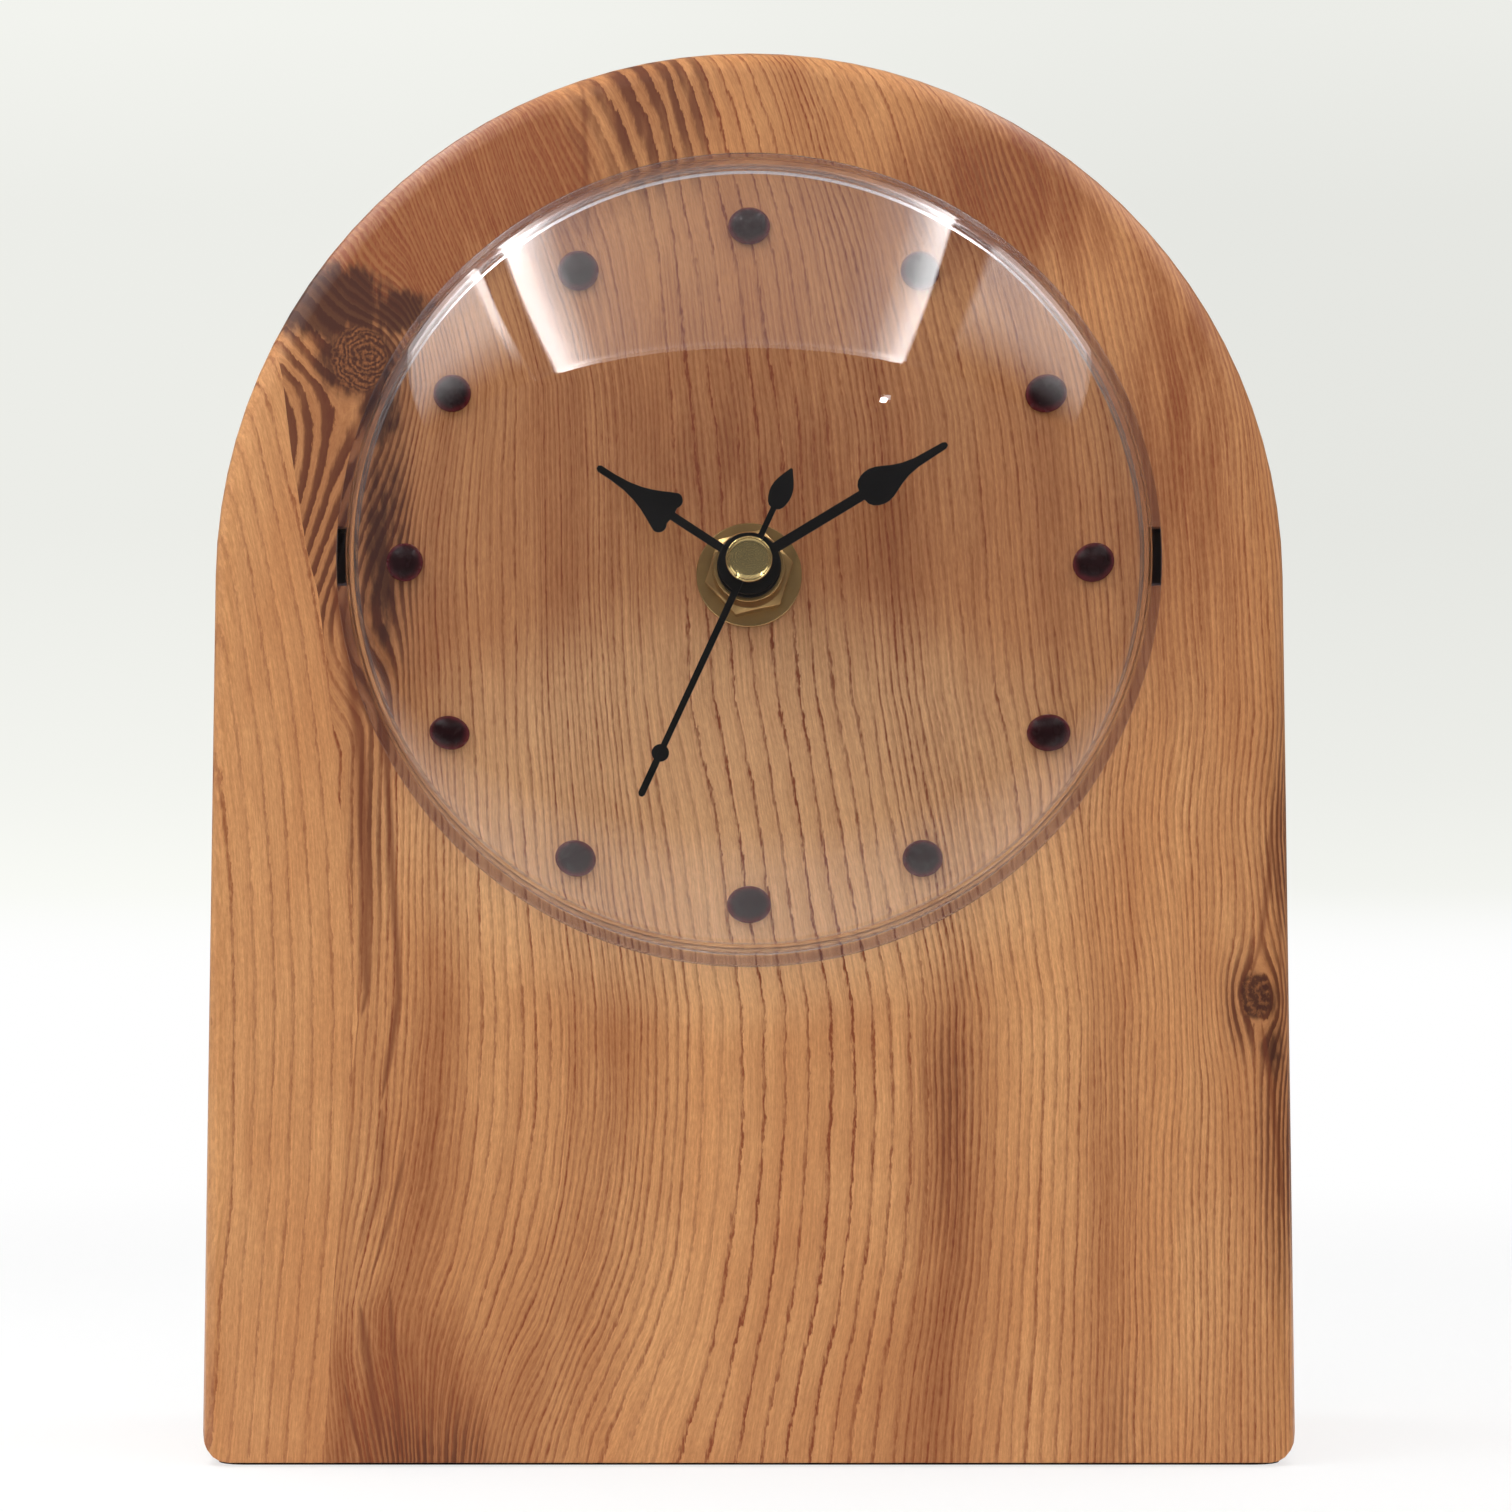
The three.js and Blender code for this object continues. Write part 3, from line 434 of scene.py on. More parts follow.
# The same for the slow drift to the left going up.
RISE_SWING = ((-160, 0), (-50, 0), (-30, 8), (-10, 18), (10, 20), (30, 18), (50, 14), (80, 12), (160, 12))
RISE_GROWTH = ((0, 0), (65, 0), (90, 0.2), (110, 0.4), (150, 0.55), (175, 0.75), (195, 1.02), (210, 1.3))
# Painted shade by height: a factor on the print's brightness, lower at the foot and towards the top of the arch,
# that evens out the light on the leaning face.
PAINTED_SHADE_BY_HEIGHT = ((0, 0.93), (15, 0.97), (35, 1.03), (80, 1.02), (140, 0.97), (205, 0.9))
# Joints between the printed planks: place across by height.
LEFT_JOINT = (
    (0, -60.5), (20, -59.5), (40, -58.5), (50, -57.5), (63, -56.2), (84, -57.6), (96, -59.6), (112, -61),
    (125, -62.8), (131, -64.5), (145, -66.8), (157, -68.4), (210, -74),
)
RIGHT_JOINT = ((0, 54), (52, 51), (81, 48.9), (110, 47), (210, 44))
# Knots: across, up, radius, reach of the bent lines, how much they are drawn out, rings a millimetre.
KNOTS = ((-57.2, 159.0, 4.3, 10.0, 0.85, 1.3), (73.2, 66.4, 2.2, 4.4, 0.6, 0.7))
# Dark streaks along the grain: half-width, strength, then place across by height.
STREAKS = (
    (1.1, 0.75, ((62, -56.2), (67, -55.1), (83, -55.3), (100, -56.1), (118, -58.5), (128, -61))),
    (0.7, 0.75, (
        (50, -52.8), (54, -52.3), (60, -51.3), (66, -50.5), (73, -50.7), (87, -51.7), (101, -52.6),
        (112, -53),
    )),
    (1.0, 0.4, ((28, -56), (33, -55), (40, -52.6), (52, -52.6))),
    (0.5, 0.65, ((25, -54.4), (32, -52.4), (40, -50.1), (46, -49))),
    (0.9, 0.7, ((0, -52.0), (8, -53.2), (22, -55.4), (24, -55.6))),
    (0.6, 0.7, ((0, -54.8), (6, -56.4), (13, -58))),
    (0.5, 0.6, ((0, -49.6), (10, -50.2), (27, -51.4))),
    (0.5, 0.55, ((60, 77.6), (72, 77.0), (85, 76.6), (100, 77.4))),
    (0.6, 0.65, ((30, 77.4), (45, 76.0), (56, 74.6), (64, 73.6))),
    (0.6, 0.6, ((67, 71.6), (74, 73.6), (84, 75.2), (96, 76.0))),
    (0.5, 0.5, ((175, -23.5), (190, -24.2), (203, -24.6))),
)
# Ovals where the lines are dark heart wood: across, up, half-width, half-height, strength.
STAINS = (
    (-58, 158, 13, 15, 0.9), (-63.5, 141, 10, 30, 1.4), (-53.5, 128, 8, 38, 0.8), (-55, 92, 5, 30, 0.5),
    (-46, 0, 16, 14, 0.6), (74, 66, 8, 12, 1.0), (77, 46, 6, 34, 0.75), (78, 88, 6, 30, 0.6),
    (-15, 197, 15, 20, 0.75), (36, 186, 22, 14, 0.25), (29, 52, 6, 40, 0.35), (53, 4, 7, 18, 0.22),
)
# Ovals of solid dark wood, in the same order.
BLOTS = (
    (-61, 167.5, 13, 8, 1.3), (-51, 166, 8, 5, 1.1), (-57.2, 159, 9, 9, 1.2), (-54, 151, 5, 8, 1.0),
    (-53.5, 132, 5.5, 30, 0.7), (74, 66, 4.2, 5.5, 0.8), (75.5, 59, 3.5, 7, 0.7), (-44, 0, 8, 5, 0.3),
)
# Oval of painted light under the lower half of the lens, where the wood is made paler as if more light fell
# through the dome, without its strength.
PAINTED_LIGHT_OVAL = (0, 94, 60, 36)
# Oval where the lines of the left plank's neighbour spread like a feather.
FEATHER_OVAL = (-62, 138, 16, 38)
# Ovals of redder wood; the wide one over the middle of the lens, at (0, 144), makes the wood there darker and
# redder.
REDS = (
    (-38, 187, 22, 17, 2.2), (-52, 176, 18, 15, 2.2), (38, 184, 26, 20, 1.4), (-47, 40, 9, 50, 0.6),
    (28, 46, 8, 50, 0.9), (52, 50, 6, 60, 0.5), (-22, 50, 7, 50, 0.5), (72, 55, 12, 50, 0.2),
    (-50, 6, 18, 28, 1.5), (64, 150, 16, 56, 1.0), (0, 144, 62, 44, 0.75), (30, 96, 10, 30, 0.6),
)


class Film:
    """Places on the case's film in millimetres: across, inwards from the face, and up."""

    def __init__(self, n):
        self.n = n
        self.vector, x, y, self.up = n.millimetres()
        face = n.scaled(self.up, LEAN, FACE_START)
        self.depth = n.math("SUBTRACT", y, face)
        self.across = n.math("MULTIPLY_ADD", self.depth, 0.5, x)
        self.place = n.point(self.across, self.depth, self.up)
        self.slow = n.scaled(self.field(0.02, 0.01, 0.007, detail=1.0), 2, -1)
        self.medium = n.scaled(self.field(0.11, 0.03, 0.03, detail=2.0), 2, -1)
        self.quick = n.scaled(self.field(0.6, 0.15, 0.07, detail=3.0), 2, -1)

    def field(self, across, deep, along, **settings):
        """Noise with so many features a millimetre each way."""
        return self.n.noise(self.n.stretched(self.place, across, deep, along), **settings)

    def oval(self, across, up, half_width, half_height):
        """Vector from the middle of an oval, one long at its edge."""
        inputs = {
            0: self.place,
            1: (1 / half_width, 0, 1 / half_height),
            2: (-across / half_width, 0, -up / half_height),
        }
        return self.n.add("VectorMath", inputs, operation="MULTIPLY_ADD").outputs[0]

    def away(self, *place):
        """Distance from the middle of an oval, one at its edge."""
        return self.n.add("VectorMath", {0: self.oval(*place)}, operation="LENGTH").outputs["Value"]

    def patch(self, *place):
        """One in the middle of an oval, falling to nothing at its edge."""
        return self.n.add("TexGradient", {0: self.oval(*place)}, gradient_type="SPHERICAL").outputs["Fac"]

    def patches(self, ovals):
        """The strongest of several ovals, with a ragged edge."""
        n, out = self.n, 0.0
        for *place, strength in ovals:
            out = n.math("MAXIMUM", out, n.scaled(self.patch(*place), strength))
        return n.product(out, n.ease(self.field(0.35, 0.1, 0.05, detail=4.0), 0.25, 0.65, 0.6, 1.2))

    def streak(self, half_width, strength, places):
        """A dark streak that follows places given by height and fades out at both ends."""
        n = self.n
        low, high = places[0][0], places[-1][0]
        off = n.math("ABSOLUTE", n.total(
            self.across, n.scaled(n.curve(self.up, places), -1), n.scaled(self.quick, 0.35)
        ))
        ends = n.product(n.ease(self.up, low, low + 9), n.ease(self.up, high - 7, high, 1.0, 0.0))
        width = n.scaled(n.math("POWER", ends, 0.8), half_width, 0.02)
        solid = n.ease(off, 0.0, n.scaled(width, 1.35), strength, 0.0)
        return n.product(solid, n.ease(ends, 0.0, 0.2))


def knot_shapes(film):
    """For each knot, how far it pushes the lines aside, its heart and the light and dark inside it."""
    n = film.n
    for across, up, radius, reach, drawn, rings in KNOTS:
        away = film.away(across, up, 1, 1 / drawn)
        square = reach * reach
        beside = n.scaled(film.across, square, -across * square)
        bend = n.math("DIVIDE", beside, n.scaled(n.product(away, away), 1, square * 0.55))
        push = n.product(bend, n.ease(away, reach * 0.8, reach * 3.2, 1.0, 0.0))
        ragged = n.total(away, film.medium, n.scaled(film.quick, 0.5))
        heart = n.ease(ragged, radius * 0.8, radius * 1.1, 1.0, 0.0)
        turns = n.total(
            film.away(across + 1.4, up + 0.6, 1, 1), n.scaled(film.field(0.4, 0.2, 0.4, detail=3.0), 3.0)
        )
        wave = n.scaled(n.math("SINE", n.scaled(turns, 2 * math.pi * rings)), 0.15, 0.5 + 0.09 * rings)
        fibres = film.field(2.2, 0.6, 1.6, detail=4.0, roughness=0.6)
        yield push, heart, n.total(wave, n.scaled(fibres, 1.3, -0.65))


def line_labels(film, pushes):
    """The label of the growth line through each point, with the joints between planks."""
    n, u, z = film.n, film.across, film.up
    lean = n.math("MAXIMUM", n.total(n.scaled(z, 1, -150), n.scaled(u, 0.5)), 0.0)
    growth = n.add("Mix", {
        0: n.ease(u, -54, -36), 2: n.curve(z, FOOT_GROWTH_LEFT), 3: n.curve(z, FOOT_GROWTH)
    }, data_type="FLOAT").outputs[0]
    upper = n.math("MAXIMUM", n.scaled(z, 0.32, -155 * 0.32), 0.0)
    shoulder = n.product(upper, n.ease(u, -34, -10, 1.0, 0.0))
    label = n.total(
        u,
        n.product(n.curve(u, FOOT_SWING), growth),
        n.product(n.curve(u, RISE_SWING), n.curve(z, RISE_GROWTH)),
        n.product(lean, lean, 0.0007),
        shoulder,
        n.scaled(film.slow, 3.0),
        n.scaled(film.medium, 1.1),
    )
    for push in pushes:
        label = n.math("SUBTRACT", label, push)
    feather = n.ease(film.patch(*FEATHER_OVAL), 0, 0.7)
    label = n.math("SUBTRACT", label, n.product(feather, n.scaled(z, 0.42, -136 * 0.42)))

    left = n.math("LESS_THAN", n.math("ADD", u, n.scaled(film.quick, 0.3)), n.curve(z, LEFT_JOINT))
    climb = n.math("MAXIMUM", n.scaled(z, 1, -60), 0.0)
    left_label = n.total(
        u, n.product(climb, climb, 0.0015), n.scaled(n.math("MINIMUM", n.scaled(z, 1, -40), 0.0), -0.07),
        n.scaled(film.slow, 1.5), n.scaled(film.medium, 0.5), -30.0,
    )
    right = n.product(n.math("GREATER_THAN", u, n.curve(z, RIGHT_JOINT)), n.ease(z, 88, 112, 1.0, 0.0))
    label = n.total(label, n.product(left, n.math("SUBTRACT", left_label, label)), n.product(right, 4.0))
    return label, left


def by_run(which):
    """One value of each run of growth lines, held from its start to its end, by label."""
    points = []
    for run, following in zip(RUNS, RUNS[1:]):
        points += [(run[0] + 0.1, run[which]), (following[0] - 0.1, run[which])]
    return points


def growth_lines(film, label):
    """How dark the thin growth lines are, the broad part of each ring, and the close lines of red wood."""
    n = film.n
    counts, count = [], 0.0
    for (start, gap, _), (end, _, _) in zip(RUNS, RUNS[1:]):
        counts.append((start, count))
        count += (end - start) / gap
    counts.append((RUNS[-1][0], count))
    jagged = n.scaled(film.field(1.9, 0.6, 0.5, detail=3.0, roughness=0.6), 0.36, -0.18)
    turn = n.total(n.curve(label, counts), n.scaled(film.quick, 0.14), jagged)
    number, part = n.math("FLOOR", turn), n.math("FRACT", turn)
    thin = n.math("MINIMUM", n.math("DIVIDE", 0.45, n.curve(label, by_run(1))), 0.36)
    ends = n.ease(part, n.scaled(thin, -0.3, 1.0), 1.0, 1.0, 0.0)
    crisp = n.product(n.ease(part, n.scaled(thin, -1.6, 1.0), n.scaled(thin, -0.55, 1.0)), ends)
    late = n.math("MAXIMUM", crisp, n.product(part, part, ends, 0.3))
    broad = n.product(n.ease(part, 0.3, 0.6), ends)

    own = n.add("TexWhiteNoise", {"W": number}, noise_dimensions="1D").outputs["Value"]
    along = n.point(n.scaled(number, 3.7), n.scaled(film.depth, 0.1), n.scaled(film.up, 0.12))
    broken = n.noise(along, detail=4.0)
    dots = film.field(2.6, 0.8, 0.6, detail=2.0, roughness=0.6)
    darkness = n.product(
        late, n.curve(label, by_run(2)), n.scaled(own, 0.55, 0.6),
        n.ease(broken, 0.25, 0.6, 0.45, 1.1), n.ease(dots, 0.3, 0.62, 0.55, 1.15),
    )
    part = n.math("FRACT", n.total(n.scaled(label, 1.15), n.scaled(film.quick, 0.2), jagged))
    close = n.product(
        n.ease(part, 0.3, 0.7), n.ease(part, 0.85, 1.0, 1.0, 0.0), n.ease(dots, 0.3, 0.62, 0.5, 1.1)
    )
    return darkness, broad, close


def clean_wood(film, looks, label, left, stain, redder):
    """Wood between the growth lines: paler and redder bands, and fine fibres along the grain, with painted light
    under the lower half of the lens and painted shade by height.
    """
    n = film.n
    along = n.point(label, film.depth, film.up)
    fibre = n.noise(n.stretched(along, 3.4, 1.2, 0.12), detail=3.0, roughness=0.7)
    streak = n.noise(n.stretched(along, 1.1, 0.4, 0.03), detail=3.0, roughness=0.6)
    pores = n.noise(n.stretched(along, 4.2, 1.4, 0.8), detail=3.0, roughness=0.7)
    cloud = film.field(0.06, 0.03, 0.02, detail=3.0)
    band = n.product(n.curve(label, BANDS), n.ease(cloud, 0.3, 0.7, 0.5, 1.1))
    red = n.math("MAXIMUM", band, n.math("MAXIMUM", n.scaled(stain, 0.6), redder))
    usual = n.ease(n.total(cloud, n.scaled(film.medium, 0.15)), 0.35, 0.65)
    wood = n.mix(usual, looks.light, looks.middle)
    wood = n.mix(n.scaled(red, 0.9), wood, looks.red)
    # Painted light: the wood under the lower half of the lens is made paler, as if lit through the dome.
    wood = n.mix(n.ease(film.patch(*PAINTED_LIGHT_OVAL), 0.0, 0.45, 0.0, 0.75), wood, looks.pale)
    grey = n.product(
        n.ease(fibre, 0.3, 0.7, 0.86, 1.1),
        n.ease(streak, 0.3, 0.7, 0.9, 1.09),
        n.ease(pores, 0.3, 0.7, 0.86, 1.12),
        # painted shade: the print is darker at the foot and towards the top, by height
        n.curve(film.up, PAINTED_SHADE_BY_HEIGHT),
        n.scaled(left, -0.09, 1.0),
    )
    tones = {0: n.scaled(grey, 0.75, 0.25), 1: grey, 2: n.scaled(grey, 1.15, -0.15)}
    return n.mix(1.0, wood, n.add("CombineColor", tones).outputs[0], "MULTIPLY")


def film_grain(n, looks):
    """Colour, roughness and height of the printed wood grain."""
    film = Film(n)
    knots = list(knot_shapes(film))
    label, left = line_labels(film, [push for push, _, _ in knots])
    darkness, broad, close = growth_lines(film, label)
    stained = n.scaled(left, -0.92, 1.0)
    stain = n.ease(n.product(film.patches(STAINS), stained), 0.0, 0.6)
    torn = n.ease(film.field(0.9, 0.3, 0.3, detail=4.0), 0.35, 0.65, 0.7, 1.1)
    blot = n.ease(n.product(film.patches(BLOTS), stained, torn), 0.15, 0.6)
    redder = n.math("MINIMUM", n.product(film.patches(REDS), stained), 1.0)
    streaks = 0.0
    for shape in STREAKS:
        streaks = n.math("MAXIMUM", streaks, film.streak(*shape))

    wood = clean_wood(film, looks, label, left, stain, redder)
    wood = n.mix(n.math("MAXIMUM", darkness, n.product(close, redder, 0.8)), wood, looks.line)
    wood = n.mix(n.product(stain, n.scaled(broad, 0.8, 0.1)), wood, n.mix(0.3, looks.knot, looks.line))
    wood = n.mix(n.product(blot, n.scaled(broad, 0.1, 0.88)), wood, looks.knot)
    wood = n.mix(streaks, wood, n.mix(0.4, looks.line, looks.knot))
    for _, heart, grain in knots:
        inside = n.mix(n.ease(grain, 0.4, 1.05), looks.knot, looks.red)
        wood = n.mix(n.scaled(heart, 0.95), wood, inside)

    uneven = n.noise(n.stretched(film.vector, 0.5, 0.5, 0.5))
    rough = n.total(n.scaled(darkness, 0.06, looks.roughness), n.scaled(uneven, 0.06, -0.03))
    peel = n.total(n.noise(n.stretched(film.vector, 2.5, 2.5, 2.5)), n.scaled(darkness, -0.25))
    return wood, rough, peel


def wood_film(looks):
    material, n, shader, _ = new_material("Wood film", Specular_IOR_Level=0.35)
    surface(n, shader, *film_grain(n, looks), 0.02)
    return material


def hardboard(looks):
    """Pressed fibre board, with short pale and dark flecks that lie in every direction."""
    material, n, shader, _ = new_material("Hardboard", Specular_IOR_Level=0.3)
    vector = n.millimetres()[0]
    cloud = n.noise(n.stretched(vector, 0.05, 0.05, 0.05), detail=3.0)
    flecks = n.noise(n.stretched(vector, 2.0, 1.0, 2.0), detail=5.0, roughness=0.7, distortion=1.5)
    fibre = n.noise(n.stretched(vector, 0.8, 0.8, 2.6), detail=4.0, roughness=0.65, distortion=3.0)
    dark, pale = toned(looks.cover, 0.6), toned(looks.cover, 1.45)
    board = n.mix(n.ease(n.total(flecks, n.scaled(cloud, 0.25, -0.12)), 0.3, 0.7), dark, pale)
    board = n.mix(n.ease(fibre, 0.55, 0.72, 0.0, 0.45), board, pale)
    surface(n, shader, board, n.scaled(flecks, 0.25, 0.42), n.total(flecks, n.scaled(fibre, 0.6)), 0.06)
    return material


def lens_clear(looks):
    """Clear plastic that lets light through to the dial, with faint wiping marks."""
    material, n, shader, output = new_material("Clear lens", IOR=1.49, Transmission_Weight=1.0)
    vector, x, _, z = n.millimetres()
    rise = n.scaled(z, 1 / UP.z, -SHAFT["pos_m"][2] / MM / UP.z - LENS_RISE)
    away = n.math("SQRT", n.total(n.product(x, x), n.product(rise, rise)))
    edge = looks.dome / MM
    rim = n.ease(away, edge - 0.4, edge + 0.2)
    wiped = n.noise(n.stretched(vector, 0.9, 0.9, 0.12), detail=4.0, distortion=1.0)
    rough = n.math("MAXIMUM", n.ease(wiped, 0.62, 0.8, 0.0, 0.06), n.scaled(rim, 0.2))
    surface(n, shader, n.mix(rim, looks.tint, looks.rim), rough)
    clear = n.add("BsdfTransparent", {"Color": n.mix(rim, looks.tint, looks.shade)})
    path = n.add("LightPath").outputs
    through = n.math("MAXIMUM", path["Is Shadow Ray"], path["Is Diffuse Ray"])
    mixed = n.add("MixShader", {0: through, 1: shader.outputs[0], 2: clear.outputs[0]})
    n.join(mixed.outputs[0], output.inputs["Surface"])
    return material


def bead_glass(looks):
    material, n, shader, _ = new_material("Bead", Specular_IOR_Level=0.2)
    vector, _, y, z = n.millimetres()
    cloud = n.noise(n.stretched(vector, 0.8, 0.8, 0.8), detail=3.0)
    proud = n.math("SUBTRACT", n.scaled(z, LEAN, FACE_START), y)
    thin = n.ease(n.total(proud, n.scaled(cloud, 0.6, -0.3)), 0.8, 1.7, 1.0, 0.0)
    surface(n, shader, n.mix(thin, looks.bead, looks.bead_edge), n.scaled(cloud, 0.2, 0.16))
    return material


def cell_sleeve(looks):
    """Printed sleeve without words, bare metal at both ends."""
    material, n, shader, _ = new_material("Cell")
    low, high = (c / MM for c in (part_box("battery")[0].x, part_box("battery")[1].x))
    vector, x, _, _ = n.millimetres()
    bare = n.math(
        "MAXIMUM", n.math("LESS_THAN", x, low + 0.9), n.math("GREATER_THAN", x, high - 2.2)
    )
    band = n.product(n.math("GREATER_THAN", x, high - 12), n.math("LESS_THAN", x, high - 10.5))
    scuff = n.noise(n.stretched(vector, 0.25, 1.2, 1.2), detail=4.0)
    sleeve = n.mix(n.ease(scuff, 0.3, 0.75), toned(looks.wrap, 0.8), looks.wrap)
    sleeve = n.mix(band, sleeve, (0.5, 0.5, 0.48))
    n.join(bare, shader.inputs["Metallic"])
    rough = n.total(n.scaled(bare, -0.1, 0.36), n.scaled(scuff, 0.12, -0.06))
    surface(n, shader, n.mix(bare, sleeve, looks.steel), rough)
    return material


WIRE_PITCH = 0.22


def copper_wire(looks):
    """Enamelled wire, wound side by side along the coil."""
    material, n, shader, _ = new_material("Copper wire", Metallic=0.9)
    vector, x, _, _ = n.millimetres()
    turns = n.math("SINE", n.scaled(x, 2 * math.pi / WIRE_PITCH))
    cloud = n.noise(n.stretched(vector, 0.8, 0.8, 0.8), detail=3.0)
    tint = n.mix(cloud, toned(looks.copper, 0.6), looks.copper)
    surface(n, shader, tint, n.scaled(cloud, 0.2, 0.2), turns, 0.05)
    return material


# Shapes


def merged_copy(node):
    """A CAD node's mesh in millimetres, with its loose triangles joined into whole faces."""
    bm = bmesh.new()
    bm.from_mesh(frame["nodes"][node].data)
    bm.transform(Matrix.Scale(1 / MM, 4))
    bmesh.ops.remove_doubles(bm, verts=bm.verts, dist=2e-3)
    bmesh.ops.dissolve_limit(bm, angle_limit=math.radians(0.6), verts=bm.verts, edges=bm.edges)
    return bm


def round_edges(bm, edges, width, segments):
    bmesh.ops.bevel(
        bm, geom=edges, offset=width, segments=segments, profile=0.5, affect="EDGES",
        material=-1, clamp_overlap=True,
    )


def soften(bm, width, above=35):
    """Rounds every edge that is sharper than an angle."""
    sharp = [e for e in bm.edges if e.is_manifold and e.calc_face_angle(0) > math.radians(above)]
    round_edges(bm, sharp, width, 2)


def turned(profile, steps):
    """A round piece about the depth axis, from (radius, height above the face) pairs.

    The profile of a ring ends where it starts.
    """
    bm = bmesh.new()
    points = [bm.verts.new((radius, -height, 0)) for radius, height in profile]
    edges = [bm.edges.new(pair) for pair in zip(points, points[1:])]
    bmesh.ops.spin(
        bm, geom=points + edges, cent=(0, 0, 0), axis=(0, 1, 0), dvec=(0, 0, 0), angle=2 * math.pi,
        steps=steps, use_merge=True, use_normal_flip=False, use_duplicate=False,
    )
    bmesh.ops.remove_doubles(bm, verts=bm.verts, dist=1e-3)
    bmesh.ops.recalc_face_normals(bm, faces=bm.faces)
    return bm


def quarter(radius, foot, apex, steps):
    """Points of a quarter ellipse from its foot to the axis, as (radius, height)."""
    return [
        (radius * math.cos(t) if t < 1.5707 else 0.0, foot + (apex - foot) * math.sin(t))
        for t in (math.pi / 2 * i / steps for i in range(steps + 1))
    ]


def block(bm, low, high):
    """A box between two corners."""
    made = bmesh.ops.create_cube(bm, size=1)["verts"]
    size = Vector(high) - Vector(low)
    bmesh.ops.scale(bm, vec=size, verts=made)
    bmesh.ops.translate(bm, vec=Vector(low) + size / 2, verts=made)


def as_object(bm, name, place):
    bm.transform(place)
    mesh = bpy.data.meshes.new(name)
    bm.to_mesh(mesh)
    bm.free()
    piece = bpy.data.objects.new(name, mesh)
    bpy.context.scene.collection.objects.link(piece)
    return piece


def combine(piece, tool, how):
    """Joins a tool's shape to a piece, or cuts it out, and removes the tool."""
    modifier = piece.modifiers.new(how.title(), "BOOLEAN")
    modifier.operation, modifier.solver, modifier.object = how, "EXACT", tool
    bpy.context.view_layer.update()
    mesh = bpy.data.meshes.new_from_object(piece.evaluated_get(bpy.context.evaluated_depsgraph_get()))
    if not mesh.polygons:
        raise RuntimeError(f"{piece.name} was lost when it was combined with {tool.name}")
    piece.modifiers.clear()
    piece.data = mesh
    bpy.data.objects.remove(tool)


def dress(piece, materials, body, slot, *nodes):
    """Shades a piece, gives it its materials and sets it on its CAD body in place of CAD nodes."""
    piece.data.shade_smooth()
    piece.data.set_sharp_from_angle(angle=math.radians(35))
    piece.data.materials.clear()
    for material in materials:
        piece.data.materials.append(material)
    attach(piece, body)
    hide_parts(*nodes)
    return piece


def level(piece):
    """Keeps large flat faces flat beside their rounded edges."""
    modifier = piece.modifiers.new("Level", "WEIGHTED_NORMAL")
    modifier.mode, modifier.weight, modifier.keep_sharp = "FACE_AREA", 50, True


def paint(node, material):
    """A better material for a CAD node that stays as it is."""
    shown = frame["nodes"][node]
    shown.data.materials.clear()
    shown.data.materials.append(material)


def body_of(node):
    bodies = frame["record"]["behaviour"]["bodies"]
    return next(name for name, nodes in bodies.items() if node in nodes)


def softened_node(node, material, slot, width, above=35):
    """A CAD node with its edges rounded."""
    bm = merged_copy(node)
    soften(bm, width, above)
    piece = as_object(bm, node + "_dressed", Matrix.Scale(MM, 4))
    level(dress(piece, [material], body_of(node), slot, node))


def lathe(name, profile, steps, material, slot, node):
    """A round piece on the dial's axis, in place of a CAD node."""
    dress(as_object(turned(profile, steps), name, DIAL), [material], body_of(node), slot, node)


def end_on(profile):
    """The same profile with its heights counted along the depth axis."""
    return [(radius, -along) for radius, along in profile]


def brass_metal(looks):
    return machined("Brass", looks.brass, roughness=0.18, spread=0.06, metallic=0.72)


def steel_metal(looks):
    return machined("Steel", looks.steel, roughness=0.3)


# Turned profiles in millimetres: radius, then height above the face or, for a screw, along its length.
SCREW = (
    (0, 0), (1.4, 1), (1.4, 12), (3, 12), (3, 12.5), (2.85, 12.95), (2.4, 13.25), (1.6, 13.4), (0, 13.4),
)
WASHER = (
    (4.25, 0.2), (4.3, 0.15), (7.6, 0.15), (7.65, 0.22), (7.65, 0.66), (7.56, 0.75), (4.36, 0.75),
    (4.25, 0.66), (4.25, 0.2),
)
GASKET = (
    (4.6, -3.25), (4.7, -3.15), (9.9, -3.15), (10, -3.25), (10, -4.05), (9.9, -4.15), (4.7, -4.15),
    (4.6, -4.05), (4.6, -3.25),
)
COLLAR = (
    (2.62, 5.4), (3.3, 5.4), (3.4, 5.5), (3.4, 6.95), (5, 6.95), (5.1, 7.05), (5.1, 7.35), (5, 7.45),
    (2.62, 7.45), (2.62, 5.4),
)
CAP = (
    (0, 12.5), (2.3, 12.5), (2.5, 12.53), (3.25, 12.9), (3.33, 13.05), (3.33, 13.75), (3.29, 13.92),
    (3.2, 14.0), (3.1, 13.95), (3.02, 13.8), (2.92, 13.68), (2.6, 13.58), (2, 13.5), (1.2, 13.44),
    (0.6, 13.41), (0, 13.4),
)
# Both arms of a screw's cross recess: half-width, half-height.
RECESS = ((1.7, 0.35), (0.35, 1.7))
# Leg and hook of a lens tab: near and far from the middle, and where it starts behind the face.
LENS_TAB = ((58.25, 59.6, -1), (59.4, 60.6, 3.4))
TAB_END, TAB_HALF_WIDTH = 4.4, 4
# Thread of the bushing: pitch, number of turns, radius at the crest and at the root.
PITCH, TURNS, CREST, ROOT = 0.48, 20, 4, 3.74


